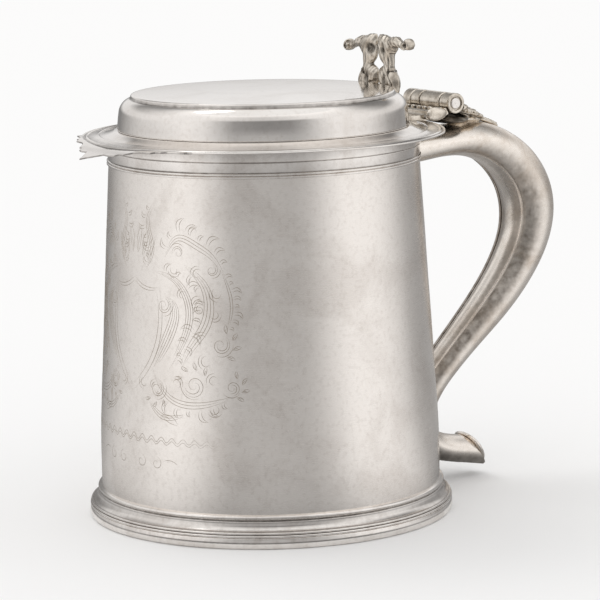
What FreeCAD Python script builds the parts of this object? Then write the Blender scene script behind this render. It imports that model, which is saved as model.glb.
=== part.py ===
import FreeCAD, Part
import math
import os

# Lidded quart tankard with a stepped flat lid, a serrated peak, twin scroll thumbpiece,
# box hinge and hollow scroll handle.
# Row frame: +Z up, the foot stands on z = 0, the vessel's axis is the Z axis,
# the handle is towards +X and the peak towards -X. The hinge axis runs along Y. Millimetres.

V = FreeCAD.Vector
UP = V(0, 0, 1)
ALONG_Y = V(0, 1, 0)
CENTRE = V(0, 0, 0)

# Vessel
FOOT_R = 65.0            # where the foot ring meets the table
FOOT_H = 11.4            # top of the foot moulding
WALL_FOOT_R = 60.75      # outside of the wall, vertical just above the foot
WALL_STRAIGHT_TOP = 20.0
WALL_TAPER_START = 39.0
WALL_TOP_R = 54.65       # outside of the wall at the mouth
RIM_Z = 134.9            # top of the mouth
WALL_T = 1.5
FLOOR_Z = 3.2            # underside of the inset base
FLOOR_T = 1.4
REED_Z = 126.4           # lowest reed of the rim moulding

# Lid
FLANGE_R = 64.5
FLANGE_Z = 135.2         # underside, a little above the mouth
DRUM_R = 51.7
DRUM_BASE_Z = 138.0
LID_TOP_Z = 150.6
SHOULDER_Z = 146.6       # middle of the drum's rounded shoulder
LID_T = 1.3
BEZEL_GAP = 0.8          # between the bezel and the inside of the mouth
BEZEL_DEPTH = 5.0
PEAK_TIP_R = 75.5
PEAK_T = 1.3
PEAK_BEND_X = -57.0      # where the peak starts to droop, just outside the mouth

# Hinge
HINGE_X = 74.4
HINGE_Z = 141.8
BARREL_R = 3.7
PIN_R = 2.1
RUNNING_GAP = 0.05
KNUCKLE_ENDS_HANDLE = ((-14.3, -8.7), (4.0, 9.0))
KNUCKLE_ENDS_LID = ((-8.1, 3.4), (9.3, 14.1))
BAR_X = 66.0             # middle of the moulded bar on the lid's side of the hinge
BAR_HALF_Y = 13.6
BAR_BASE_Z = 136.7
BAR_TOP_Z = 140.5
LEAF_BASE_Z = 138.2      # underside of the handle's leaf beside the knuckles
LEAF_TOP_Z = 140.3
BEAD_PITCH = 3.4
BEAD_R = 0.95

# Handle: x, z, half depth and half width of its section at each station
HANDLE_STATIONS = (
    (50.0, 124.6, 6.9, 10.4),
    (58.0, 125.2, 6.6, 10.45),
    (66.0, 125.8, 6.35, 10.5),
    (78.5, 126.7, 6.0, 10.7),
    (89.0, 126.6, 6.9, 11.0),
    (99.2, 123.5, 7.8, 11.2),
    (107.2, 118.2, 8.7, 11.4),
    (113.4, 110.9, 9.4, 11.5),
    (117.0, 100.5, 9.7, 11.4),
    (116.0, 90.0, 9.1, 11.0),
    (110.5, 78.5, 8.3, 10.3),
    (99.5, 65.0, 7.3, 9.4),
    (87.0, 53.2, 6.2, 8.5),
    (75.8, 42.6, 5.7, 7.8),
    (68.0, 33.2, 5.7, 7.4),
    (65.2, 24.2, 5.7, 7.2),
    (67.9, 16.2, 5.7, 7.0),
    (75.0, 11.8, 5.7, 6.9),
    (83.0, 10.0, 5.7, 6.8),
    (93.0, 8.1, 5.7, 6.8),
)
SHELL_T = 1.0
SEAM_ANGLE = 136.0       # from the handle's outside round to the strap's edge
STRAP_CROWN = 0.16       # rise of the strap, as a share of its own width
SHIELD_TOP = (85.6, 15.4)
SHIELD_FOOT = (93.6, 2.9)
SHIELD_T = 1.2

# Thumbpiece
THUMB_X = 50.4
THUMB_FOOT_Z = 146.2
THUMB_TOP_Z = 168.4
VOLUTE_Y = 18.6
VOLUTE_Z = 163.6
VOLUTE_R = 2.4


def outline(start, steps):
    """Closed wire in the XZ plane: a step is an end point, or an arc's middle and end."""
    edges = []
    here = V(start[0], 0, start[1])
    for step in steps + (start,):
        there = V(step[-2], 0, step[-1])
        if len(step) == 2:
            edges.append(Part.makeLine(here, there))
        else:
            middle = V(step[0], 0, step[1])
            edges.append(Part.Arc(here, middle, there).toShape())
        here = there
    return Part.Wire(edges)


def turned(start, steps):
    """Solid of revolution about the vessel's axis."""
    return Part.Face(outline(start, steps)).revolve(CENTRE, UP, 360)


def barred(start, steps, low_y, high_y):
    """Straight moulding along Y with the given section in the XZ plane."""
    face = Part.Face(outline(start, steps))
    face.translate(V(0, low_y, 0))
    return face.extrude(V(0, high_y - low_y, 0))


def rod(radius, centre, low_y, high_y):
    """Cylinder along Y."""
    return Part.makeCylinder(radius, high_y - low_y, V(centre[0], low_y, centre[1]), ALONG_Y)


def smooth_wire(points):
    """One smooth open curve through the points."""
    curve = Part.BSplineCurve()
    curve.interpolate(points)
    return curve.toShape()


def wall_radius(z):
    """Outside radius of the tapered wall at a height in its straight upper part."""
    slope = (WALL_FOOT_R - WALL_TOP_R) / (RIM_Z - (WALL_STRAIGHT_TOP + WALL_TAPER_START) / 2)
    return WALL_TOP_R + slope * (RIM_Z - z)


def wall_steps(inset):
    """Outer line of the wall from low to high, moved inwards by inset."""
    taper_r = wall_radius(WALL_TAPER_START)
    bend_z = (WALL_STRAIGHT_TOP + WALL_TAPER_START) / 2
    bend_r = WALL_FOOT_R - (WALL_FOOT_R - taper_r) / 4
    return (
        (WALL_FOOT_R - inset, WALL_STRAIGHT_TOP),
        (bend_r - inset, bend_z, taper_r - inset, WALL_TAPER_START),
        (WALL_TOP_R - inset, RIM_Z),
    )


def vessel_core():
    """The whole space inside the wall's outer face."""
    return turned((0, 0.4), ((WALL_FOOT_R, 0.4),) + wall_steps(0) + ((0, RIM_Z),))


def body_wall():
    """Raised and tapered wall, open at both ends."""
    bottom_z = 1.0
    outside = ((WALL_FOOT_R, bottom_z),) + wall_steps(0)
    inside = turned((0, -1), ((WALL_FOOT_R - WALL_T, -1),) + wall_steps(WALL_T) + (
        (WALL_TOP_R - WALL_T, RIM_Z + 1), (0, RIM_Z + 1)))
    return turned((0, bottom_z), outside + ((0, RIM_Z),)).cut(inside)


def base_disc():
    """Inset floor of the vessel, soldered inside the wall."""
    radius = WALL_FOOT_R - WALL_T
    return Part.makeCylinder(radius, FLOOR_T, V(0, 0, FLOOR_Z))


def foot_outline_steps():
    """Outside of the foot moulding from the table up: band, two reeds, cavetto and bead."""
    return (
        (FOOT_R - 0.2, 0.0),
        (FOOT_R + 0.6, 2.0, FOOT_R - 0.1, 3.9),
        (FOOT_R + 0.2, 4.35, FOOT_R - 0.4, 4.8),
        (FOOT_R - 0.1, 5.2, FOOT_R - 0.8, 5.6),
        (FOOT_R - 1.1, 5.8),
        (FOOT_R - 2.6, 7.3, FOOT_R - 3.1, 9.2),
        (FOOT_R - 3.3, 9.5),
        (FOOT_R - 3.0, 10.3, FOOT_R - 3.6, 11.0),
        (WALL_FOOT_R, FOOT_H),
    )


def foot_ring():
    """Applied foot moulding round the bottom of the wall."""
    return turned((WALL_FOOT_R + 0.01, 0.0), foot_outline_steps()).cut(vessel_core())


def rim_moulding():
    """Two reeds and a lip band applied round the mouth."""
    r = wall_radius(REED_Z)
    band = turned((r - 1, REED_Z - 0.5), (
        (r + 0.1, REED_Z - 0.5),
        (r + 0.65, REED_Z, r + 0.2, REED_Z + 0.5),
        (r + 0.6, REED_Z + 1.0, r + 0.2, REED_Z + 1.5),
        (r + 0.2, REED_Z + 4.9),
        (r + 0.6, REED_Z + 5.3),
        (r + 0.6, RIM_Z - 0.5),
        (r + 0.5, RIM_Z - 0.1, r + 0.1, RIM_Z),
        (r - 1, RIM_Z),
    ))
    return band.cut(vessel_core())


def handle_frame():
    """Centreline point, outward normal, half depth and half width at each station."""
    points = [V(x, 0, z) for x, z, depth, width in HANDLE_STATIONS]
    path = Part.BSplineCurve()
    path.interpolate(points)
    frames = []
    for point, station in zip(points, HANDLE_STATIONS):
        tangent = path.tangent(path.parameter(point))[0]
        normal = V(-tangent.z, 0, tangent.x)
        frames.append((point, normal, station[2], station[3]))
    return frames


def section_points(frame, inset, start_deg, end_deg, count):
    """Points on the handle's oval section between two angles from its outside."""
    point, normal, depth, width = frame
    curve_points = []
    for index in range(count):
        angle = math.radians(start_deg + (end_deg - start_deg) * index / (count - 1))
        out = normal * ((depth - inset) * math.cos(angle))
        side = ALONG_Y * ((width - inset) * math.sin(angle))
        curve_points.append(point + out + side)
    return curve_points


def lofted(section):
    """Loft of closed sections over all the handle's stations."""
    return Part.makeLoft([section(frame) for frame in handle_frame()], True, False)


def handle_trimmed(section):
    """A loft ended on the vessel and its mouldings, and cut off at the tail's plate."""
    solid = lofted(section).cut(vessel_core()).cut(foot_solid()).cut(rim_moulding())
    return solid.cut(beyond_shield())


def foot_solid():
    """The foot moulding filled to the axis."""
    return turned((0, 0.0), foot_outline_steps() + ((0, FOOT_H),))


def shell_section(frame):
    """Wall of the outer half: an open oval with its two lips beside the strap."""
    outer = section_points(frame, 0, -SEAM_ANGLE, SEAM_ANGLE, 17)
    inner = section_points(frame, SHELL_T, SEAM_ANGLE, -SEAM_ANGLE, 17)
    lip_a = Part.makeLine(outer[-1], inner[0])
    lip_b = Part.makeLine(inner[-1], outer[0])
    return Part.Wire([smooth_wire(outer), lip_a, smooth_wire(inner), lip_b])


def strap_section(frame):
    """Crowned strip that closes the inner side, set between the lips of the shell."""
    point, normal, depth, width = frame
    angle = math.radians(SEAM_ANGLE)
    half = (width - SHELL_T) * math.sin(angle) - 0.05
    level = (depth - SHELL_T) * math.cos(angle)
    rise = STRAP_CROWN * 2 * half
    under = 0.6
    left = point + normal * level - ALONG_Y * half
    right = point + normal * level + ALONG_Y * half
    crown = point + normal * (level - rise)
    hollow = point + normal * (level - rise + SHELL_T)
    step = normal * under
    outside = Part.Arc(left, crown, right).toShape()
    inside = Part.Arc(right + step, hollow, left + step).toShape()
    return Part.Wire([outside, Part.makeLine(right, right + step), inside, Part.makeLine(left + step, left)])


def beyond_shield():
    """Block that takes away everything past the oblique end of the tail."""
    run = V(SHIELD_FOOT[0] - SHIELD_TOP[0], 0, SHIELD_FOOT[1] - SHIELD_TOP[1])
    run.normalize()
    outward = V(-run.z, 0, run.x)
    block = Part.makeBox(25, 40, 24, V(0, -20, -20))
    block.rotate(CENTRE, ALONG_Y, -math.degrees(math.atan2(outward.z, outward.x)))
    block.translate(V(SHIELD_TOP[0], 0, SHIELD_TOP[1]))
    return block


def handle_shell():
    """Hollow outer half of the handle, from the upper joint down to the tail."""
    return handle_trimmed(shell_section)


def handle_strap():
    """Crowned strap along the inner side of the handle and on under its tail."""
    return handle_trimmed(strap_section)


def tail_shield():
    """Oblique shield-shaped plate that closes the tail, with a pointed lower lip."""
    tip = V(SHIELD_FOOT[0], 0, SHIELD_FOOT[1])
    top = V(SHIELD_TOP[0], 0, SHIELD_TOP[1])
    down = tip - top
    length = down.Length
    down.normalize()
    outward = V(-down.z, 0, down.x)
    half = HANDLE_STATIONS[-1][3] + 0.5
    edge = [
        top + down * -0.6,
        top + down * 0.4 + ALONG_Y * (half * 0.62),
        top + down * 3.6 + ALONG_Y * half,
        top + down * (length * 0.66) + ALONG_Y * (half * 0.86),
        top + down * (length * 0.9) + ALONG_Y * (half * 0.36),
        tip,
    ]
    right = smooth_wire(edge)
    mirrored = [V(p.x, -p.y, p.z) for p in reversed(edge)]
    left = smooth_wire(mirrored)
    return Part.Face(Part.Wire([right, left])).extrude(outward * SHIELD_T)


def hinge_knuckles(ends, bore_r):
    """Row of hinge knuckles between the given places along Y."""
    knuckles = []
    for low, high in ends:
        barrel = rod(BARREL_R, (HINGE_X, HINGE_Z), low, high)
        knuckles.append(barrel.cut(rod(bore_r, (HINGE_X, HINGE_Z), low - 1, high + 1)))
    return knuckles


def handle_knuckles():
    """Knuckles fixed to the handle, with a ring recess round the pin's near end."""
    near, inner = hinge_knuckles(KNUCKLE_ENDS_HANDLE, PIN_R)
    low = KNUCKLE_ENDS_HANDLE[0][0]
    recess = rod(PIN_R + 0.5, (HINGE_X, HINGE_Z), low - 1, low + 0.7)
    return Part.Compound([near.cut(recess), inner])


def lid_knuckles():
    """Knuckles fixed to the lid, with running clearance on the pin."""
    return Part.Compound(hinge_knuckles(KNUCKLE_ENDS_LID, PIN_R + RUNNING_GAP))


def hinge_pin():
    """Pin through all four knuckles."""
    low = KNUCKLE_ENDS_HANDLE[0][0]
    high = KNUCKLE_ENDS_LID[-1][1]
    return rod(PIN_R, (HINGE_X, HINGE_Z), low, high)


def full_section(frame):
    """The handle's whole oval as a closed wire."""
    halves = [section_points(frame, 0, start, start + 180, 13) for start in (-180, 0)]
    return Part.Wire([smooth_wire(points) for points in halves])


def fitted_to_handle(piece):
    """The part of a casting that stands outside the handle."""
    return piece.cut(lofted(full_section)).cut(handle_shell()).removeSplitter()


def leaf_blank():
    """Side outline of the leaf, from the barrel down to the top of the handle."""
    return barred((78.3, LEAF_TOP_Z), (
        (82.0, LEAF_TOP_Z - 0.2, 86.0, LEAF_TOP_Z - 0.8),
        (91.5, 138.0, 95.5, 136.2),
        (95.0, 130.0),
        (77.0, 130.0),
        (77.0, HINGE_Z - BARREL_R + 0.6),
    ), -20, 20)


def leaf_plan():
    """Plan outline of the leaf, scalloped on both sides and narrowing outwards."""
    half = [
        V(77.0, 14.2, 120), V(82.5, 13.2, 120), V(85.6, 9.4, 120),
        V(89.2, 8.8, 120), V(92.2, 5.0, 120), V(96.0, 2.6, 120),
    ]
    near = smooth_wire([V(p.x, -p.y, p.z) for p in half])
    far = smooth_wire(half)
    tip = Part.makeLine(V(96.0, -2.6, 120), V(96.0, 2.6, 120))
    root = Part.makeLine(V(77.0, 14.2, 120), V(77.0, -14.2, 120))
    return Part.Face(Part.Wire([near, tip, far.reversed(), root])).extrude(V(0, 0, 30))


def handle_hinge_leaf():
    """Cast leaf from the handle's knuckles, saddled on the top of the handle."""
    leaf = leaf_plan().common(leaf_blank())
    under = barred((70.0, 100.0), (
        (70.0, LEAF_BASE_Z - 0.1),
        (80.0, LEAF_BASE_Z),
        (86.0, LEAF_BASE_Z - 0.6),
        (99.0, 133.2),
        (99.0, 100.0),
    ), -20, 20)
    plate = leaf.cut(under)
    pads = barred((78.6, 129.0), ((78.6, 138.2), (93.0, 136.0), (93.0, 129.0)), -4.2, 4.2)
    leaf = plate.fuse(leaf.common(pads))
    leaf = leaf.cut(rod(BARREL_R, (HINGE_X, HINGE_Z), -30, 30))
    for sweep_low, sweep_high in KNUCKLE_ENDS_LID:
        leaf = leaf.cut(rod(BARREL_R + 0.6, (HINGE_X, HINGE_Z), sweep_low - 0.4, sweep_high + 0.4))
    for low, high in KNUCKLE_ENDS_HANDLE:
        lug = barred((HINGE_X + 0.8, HINGE_Z - 3.6), (
            (HINGE_X + 3.0, LEAF_BASE_Z + 0.1),
            (80.0, LEAF_BASE_Z),
            (80.0, LEAF_TOP_Z),
            (HINGE_X + 3.2, HINGE_Z + 0.6),
        ), low, high)
        lug = lug.cut(rod(BARREL_R, (HINGE_X, HINGE_Z), -30, 30))
        leaf = leaf.fuse(lug)
    for side in (-1, 1):
        pierce = Part.makeCylinder(1.6, 30, V(86.2, side * 5.9, 120))
        leaf = leaf.cut(pierce)
    return fitted_to_handle(leaf)


def leaf_drop():
    """Tapering drop with three graduated beads, laid on the handle beyond the leaf."""
    spine = barred((96.0, 126.0), (
        (96.0, 135.8),
        (100.0, 134.6, 104.5, 132.0),
        (104.5, 126.0),
    ), -3, 3)
    plan = Part.Face(Part.makePolygon([
        V(96.0, -2.6, 120), V(104.5, -0.7, 120), V(104.5, 0.7, 120), V(96.0, 2.6, 120), V(96.0, -2.6, 120),
    ])).extrude(V(0, 0, 30))
    drop = spine.common(plan)
    for x, z, radius in ((97.8, 135.0, 1.7), (100.6, 133.9, 1.4), (103.0, 132.6, 1.1)):
        drop = drop.fuse(Part.makeSphere(radius, V(x, 0, z)))
    near_leaf = Part.makeBox(10, 10, 20, V(86.0, -5, 120))
    return fitted_to_handle(drop.cut(near_leaf))


def flange_steps():
    """Top of the lid's flange from its rolled edge in to the drum, in three mouldings."""
    r = FLANGE_R
    return (
        (r - 0.4, FLANGE_Z),
        (r + 0.2, FLANGE_Z + 0.45, r - 0.4, FLANGE_Z + 0.9),
        (r - 1.5, FLANGE_Z + 0.8),
        (r - 2.0, FLANGE_Z + 1.1, r - 2.6, FLANGE_Z + 1.0),
        (r - 6.2, FLANGE_Z + 1.5),
        (r - 6.5, FLANGE_Z + 1.2),
        (r - 9.6, FLANGE_Z + 1.9, r - 11.6, DRUM_BASE_Z - 0.1),
        (DRUM_R, DRUM_BASE_Z),
        (DRUM_R - LID_T, DRUM_BASE_Z),
    )


def peak_outline():
    """Serrated plan outline of the peak: scallops between pairs of small teeth."""
    half = (
        (0.0, PEAK_TIP_R), (4.6, 69.2), (9.6, 69.6), (11.0, 68.2), (12.6, 68.2),
        (17.0, 65.6), (21.8, 66.8), (23.2, 65.6), (25.0, 66.2), (29.0, 64.8), (33.0, 66.0), (35.5, 64.0),
    )
    both = [(-offset, radius) for offset, radius in reversed(half[1:])] + list(half)
    corners = [V(-40.0, 0, 120)]
    for offset, radius in both:
        angle = math.pi + math.radians(offset)
        corners.append(V(radius * math.cos(angle), radius * math.sin(angle), 120))
    return Part.Face(Part.makePolygon(corners + corners[:1])).extrude(V(0, 0, 30))


def peak():
    """Peak plate that droops towards its tip."""
    x = PEAK_BEND_X
    low = FLANGE_Z
    high = FLANGE_Z + PEAK_T
    bent = barred((x + 7.0, low), (
        (x, low),
        (x - 5.5, low - 0.5, x - 11.0, low - 1.9),
        (x - 23.0, low - 4.7),
        (x - 23.0, high - 4.7),
        (x - 11.0, high - 1.9),
        (x - 5.5, high - 0.5, x, high),
        (x + 7.0, high),
    ), -60, 60)
    return bent.common(peak_outline())


def lid_flange():
    """Moulded flange of the lid with the serrated peak at its front."""
    ring = turned((DRUM_R - LID_T, FLANGE_Z), flange_steps())
    bore = Part.makeCylinder(DRUM_R - LID_T, 40, V(0, 0, 120))
    plate = peak().cut(bore).cut(flange_solid())
    return ring.fuse(plate).removeSplitter()


def drum_steps():
    """Outside of the drum from its base up: side, rounded shoulder, step and top plate."""
    r = DRUM_R
    return (
        (r, DRUM_BASE_Z),
        (r - 0.2, DRUM_BASE_Z + 3.0, r - 0.6, DRUM_BASE_Z + 6.0),
        (r - 1.6, SHOULDER_Z + 0.3, r - 4.0, SHOULDER_Z + 2.2),
        (r - 4.7, LID_TOP_Z - 1.6),
        (r - 4.9, LID_TOP_Z - 0.7),
        (r - 5.1, LID_TOP_Z - 0.25, r - 5.6, LID_TOP_Z - 0.15),
        (0, LID_TOP_Z),
    )


def lid_cap():
    """Raised drum of the lid with its rounded shoulder, step and flat top."""
    r = DRUM_R - LID_T
    inside = turned((0, DRUM_BASE_Z - 1), (
        (r, DRUM_BASE_Z - 1),
        (r, DRUM_BASE_Z + 1.0),
        (r - 0.6, DRUM_BASE_Z + 6.0),
        (r - 1.7, SHOULDER_Z - 0.4, r - 3.7, SHOULDER_Z + 1.1),
        (r - 4.7, LID_TOP_Z - 1.5),
        (0, LID_TOP_Z - LID_T),
    ))
    return turned((0, DRUM_BASE_Z), drum_steps()).cut(inside)


def lid_bezel():
    """Ring under the lid that drops into the mouth."""
    outer = WALL_TOP_R - WALL_T - BEZEL_GAP
    inner = outer - 1.2
    return turned((inner, FLANGE_Z - BEZEL_DEPTH), (
        (outer - 0.6, FLANGE_Z - BEZEL_DEPTH),
        (outer, FLANGE_Z - BEZEL_DEPTH + 0.8),
        (outer, FLANGE_Z),
        (inner, FLANGE_Z),
    ))


def drum_solid():
    """The drum of the lid filled, for fitting pieces to its outside."""
    return turned((0, DRUM_BASE_Z - 3), ((DRUM_R, DRUM_BASE_Z - 3),) + drum_steps())


def flange_solid():
    """The flange of the lid filled, for fitting pieces to its top."""
    return turned((0, FLANGE_Z), flange_steps()[:-1] + ((0, DRUM_BASE_Z),))


def hinge_bar():
    """Moulded bar on the flange that carries the lid's knuckles."""
    x = BAR_X
    bar = barred((x - 4.4, BAR_BASE_Z), (
        (x - 4.9, BAR_BASE_Z + 0.9),
        (x - 3.7, BAR_BASE_Z + 1.8, x - 3.4, BAR_TOP_Z - 0.9),
        (x - 2.6, BAR_TOP_Z - 0.3),
        (x + 2.0, BAR_TOP_Z),
        (x + 4.9, BAR_TOP_Z - 0.2),
        (x + 5.4, BAR_BASE_Z + 1.5),
        (x + 2.6, BAR_BASE_Z),
    ), -BAR_HALF_Y, BAR_HALF_Y)
    bar = bar.cut(rod(BARREL_R, (HINGE_X, HINGE_Z), -30, 30))
    for low, high in KNUCKLE_ENDS_HANDLE:
        bar = bar.cut(rod(BARREL_R + 0.6, (HINGE_X, HINGE_Z), low - 0.5, high + 0.5))
    return bar.cut(flange_solid())


def bracket_plate():
    """Flat plate from the drum to the bar, lying on the flange."""
    base_z = FLANGE_Z + 0.1
    corners = ((40, -9), (BAR_X - 3, -11.5), (BAR_X - 3, 11.5), (40, 9), (40, -9))
    plan = Part.Face(Part.makePolygon([V(x, y, base_z) for x, y in corners]))
    plate = plan.extrude(V(0, 0, 2.9))
    return plate.cut(drum_solid()).cut(flange_solid()).cut(hinge_bar())


def bar_beading():
    """Row of beads along the top of the bar's front edge."""
    count = int(2 * BAR_HALF_Y / BEAD_PITCH)
    beads = []
    for index in range(count):
        y = (index - (count - 1) / 2) * BEAD_PITCH
        beads.append(Part.makeSphere(BEAD_R, V(BAR_X - 0.9, y, BAR_TOP_Z + 0.1)).cut(hinge_bar()))
    return Part.Compound(beads)


def bar_bosses():
    """Oval scroll bosses on the two ends of the bar."""
    bosses = []
    for side in (-1, 1):
        boss = Part.makeSphere(1.0)
        matrix = FreeCAD.Matrix()
        matrix.scale(4.6, 1.5, 2.5)
        boss = boss.transformGeometry(matrix)
        boss.translate(V(BAR_X - 0.2, side * BAR_HALF_Y, (BAR_BASE_Z + BAR_TOP_Z) / 2))
        low_y = BAR_HALF_Y if side > 0 else -BAR_HALF_Y - 10
        keep = Part.makeBox(30, 10, 20, V(BAR_X - 15, low_y, 130))
        boss = boss.common(keep).cut(rod(BARREL_R + 0.4, (HINGE_X, HINGE_Z), -30, 30))
        bosses.append(boss.cut(flange_solid()))
    return Part.Compound(bosses)


def thumb_foot():
    """Small curved plate that seats the thumbpiece on the shoulder of the drum."""
    pad = Part.makeBox(5.0, 19.0, 7.0, V(THUMB_X - 3.0, -9.5, THUMB_FOOT_Z - 4.6))
    pad = pad.makeFillet(1.2, [edge for edge in pad.Edges if abs(edge.tangentAt(0).z) > 0.9])
    return pad.cut(drum_solid())


def thumb_scroll(side):
    """One scroll of the thumbpiece: bulging foot, waist, hood and a round volute outside."""
    levels = (
        (0.0, 5.6, 2.6, 2.2), (0.11, 7.0, 3.0, 2.5), (0.22, 7.0, 3.3, 2.6), (0.34, 5.0, 4.6, 2.4),
        (0.44, 5.5, 2.3, 2.1), (0.55, 5.7, 2.5, 2.1), (0.68, 5.6, 3.6, 2.4), (0.8, 5.2, 4.6, 2.7),
        (0.91, 5.6, 4.2, 2.3), (1.0, 6.0, 2.2, 1.1),
    )
    wires = []
    height = THUMB_TOP_Z - THUMB_FOOT_Z
    for share, middle, half_y, half_x in levels:
        oval = Part.Ellipse(CENTRE, max(half_y, half_x), min(half_y, half_x)).toShape()
        if half_y > half_x:
            oval.rotate(CENTRE, UP, 90)
        oval.translate(V(THUMB_X, side * middle, THUMB_FOOT_Z + share * height))
        wires.append(Part.Wire([oval]))
    stem = Part.makeLoft(wires, True, False)
    arm = Part.makeCylinder(1.7, VOLUTE_Y - 8.0, V(THUMB_X, side * 8.0, VOLUTE_Z), ALONG_Y * side)
    ball = Part.makeSphere(VOLUTE_R, V(THUMB_X, side * VOLUTE_Y, VOLUTE_Z))
    hollow = Part.makeCylinder(1.5, 12, V(THUMB_X - 6, side * 2.9, VOLUTE_Z - 0.4), V(1, 0, 0))
    scroll = stem.fuse(arm).fuse(ball).cut(hollow)
    middle_gap = Part.makeBox(20, 10, 40, V(THUMB_X - 10, 0 if side < 0 else -10, 140))
    return scroll.cut(middle_gap).cut(drum_solid()).cut(thumb_foot())


def export(name, shape):
    """Write one node as a STEP file."""
    shape.exportStep("parts/" + name + ".step")


def main():
    """Build every piece and write it to its own file."""
    os.makedirs("parts", exist_ok=True)
    pieces = {
        "body_wall": body_wall(),
        "base_disc": base_disc(),
        "foot_ring": foot_ring(),
        "rim_moulding": rim_moulding(),
        "handle_shell": handle_shell(),
        "handle_strap": handle_strap(),
        "tail_shield": tail_shield(),
        "handle_hinge_leaf": handle_hinge_leaf(),
        "leaf_drop": leaf_drop(),
        "handle_knuckles": handle_knuckles(),
        "hinge_pin": hinge_pin(),
        "lid_cap": lid_cap(),
        "lid_flange": lid_flange(),
        "lid_bezel": lid_bezel(),
        "hinge_bar": hinge_bar(),
        "bracket_plate": bracket_plate(),
        "bar_beading": bar_beading(),
        "bar_bosses": bar_bosses(),
        "lid_knuckles": lid_knuckles(),
        "thumb_foot": thumb_foot(),
        "thumb_scroll_near": thumb_scroll(-1),
        "thumb_scroll_far": thumb_scroll(1),
    }
    for name, shape in pieces.items():
        print(name, len(shape.Solids), round(shape.Volume), shape.isValid())
        export(name, shape)


main()
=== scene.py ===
import logging
import math
from dataclasses import dataclass, field
from enum import Enum
from typing import Callable

import bmesh
import bpy
import numpy as np
from mathutils import Matrix, Vector


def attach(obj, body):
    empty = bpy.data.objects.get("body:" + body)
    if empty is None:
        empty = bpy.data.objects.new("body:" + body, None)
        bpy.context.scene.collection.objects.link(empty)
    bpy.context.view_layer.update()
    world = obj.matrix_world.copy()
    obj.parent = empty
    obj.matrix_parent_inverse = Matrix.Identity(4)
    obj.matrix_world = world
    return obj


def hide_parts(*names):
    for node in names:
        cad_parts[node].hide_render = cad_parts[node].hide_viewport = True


# Looks for a lidded quart tankard in worn silver. Lengths are millimetres until a mesh is made,
# which is in metres. The vessel's axis is Z, the handle is towards +X and the peak towards -X.

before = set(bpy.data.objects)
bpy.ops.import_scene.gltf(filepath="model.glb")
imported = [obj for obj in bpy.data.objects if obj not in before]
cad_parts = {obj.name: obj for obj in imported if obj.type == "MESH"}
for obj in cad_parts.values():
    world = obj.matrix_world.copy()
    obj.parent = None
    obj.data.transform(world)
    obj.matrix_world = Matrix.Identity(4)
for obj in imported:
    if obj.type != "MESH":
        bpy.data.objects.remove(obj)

LOG = logging.getLogger("tankard")
MM = 0.001
PER_METRE = 1 / MM       # a pattern's scale in metres for a size in millimetres
TURN = 2 * math.pi
SHARP_DEG = 38.0         # edges bent more than this are shaded as edges
MERGE_MM = 0.0015        # points nearer than this are one point
SPECK_MM = 1.6           # size of the film's specks
RAGGED_MM = 2.5          # size of the breaks in a groove's tarnish
GROOVE_DULL = 0.22       # roughness that a groove's tarnish adds
FILM_DULL = 0.08         # roughness that the film adds
CASTING_VOXEL_MM = 0.16  # faces of a casting's skin


class Body(Enum):
    """The two bodies that the hinge joins."""

    VESSEL = "vessel"
    LID = "lid"


class Slot(Enum):
    """Material slots of the part."""

    WALL = "wall"
    MOULDING = "moulding"
    HANDLE = "handle"
    LID = "lid"
    CAST = "cast"
    PIN = "pin"


class Lay(Enum):
    """Which way the fine polishing scratches run."""

    ROUND = "round"          # along u of the piece's own map, as turned work is polished
    CROSSED = "crossed"      # short scratches every way, as hand-rubbed work


# ---------------------------------------------------------------- scene helpers


def show(name: str, data: bpy.types.ID) -> bpy.types.Object:
    """Adds an object to the scene.

    Args:
        name: Its name.
        data: Its mesh, camera or light.

    Returns:
        The object.
    """
    obj = bpy.data.objects.new(name, data)
    bpy.context.scene.collection.objects.link(obj)
    return obj


def empty_tree(owner: bpy.types.ID) -> bpy.types.NodeTree:
    """Gives a material or a world an empty node tree.

    Args:
        owner: The material or the world.

    Returns:
        The tree.
    """
    owner.use_nodes = True
    owner.node_tree.nodes.clear()
    return owner.node_tree


def read(mesh: bpy.types.Mesh, what: str) -> np.ndarray:
    """Reads a vector of every point of a mesh.

    Args:
        mesh: The mesh.
        what: "co" or "normal".

    Returns:
        One row of three for each point.
    """
    values = np.empty(len(mesh.vertices) * 3)
    mesh.vertices.foreach_get(what, values)
    return values.reshape(-1, 3)


def merge(work: bmesh.types.BMesh) -> None:
    """Makes one point of points that lie together.

    Args:
        work: The mesh being edited.
    """
    bmesh.ops.remove_doubles(work, verts=work.verts, dist=MERGE_MM * MM)


def face_out(work: bmesh.types.BMesh) -> None:
    """Turns every face outwards.

    Args:
        work: The mesh being edited.
    """
    bmesh.ops.recalc_face_normals(work, faces=work.faces)


def fill_ends(work: bmesh.types.BMesh) -> None:
    """Fills the open ends of a swept loop with a face each.

    Args:
        work: The mesh being edited.
    """
    edges = [edge for edge in work.edges if edge.is_boundary]
    bmesh.ops.holes_fill(work, edges=edges, sides=0)


def edit(mesh: bpy.types.Mesh, *steps: Callable) -> None:
    """Edits a mesh in steps.

    Args:
        mesh: The mesh.
        steps: Functions that take the mesh being edited.
    """
    work = bmesh.new()
    work.from_mesh(mesh)
    for step in steps:
        step(work)
    work.to_mesh(mesh)
    work.free()


# ---------------------------------------------------------------- materials


def linear(hex_colour: str) -> tuple[float, float, float, float]:
    """Turns an sRGB hex colour to linear.

    Args:
        hex_colour: Six hex digits.

    Returns:
        Red, green, blue and alpha, linear.
    """
    channels = [int(hex_colour[i:i + 2], 16) / 255 for i in (0, 2, 4)]
    low = [c / 12.92 if c <= 0.04045 else ((c + 0.055) / 1.055) ** 2.4 for c in channels]
    return low[0], low[1], low[2], 1.0


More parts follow.
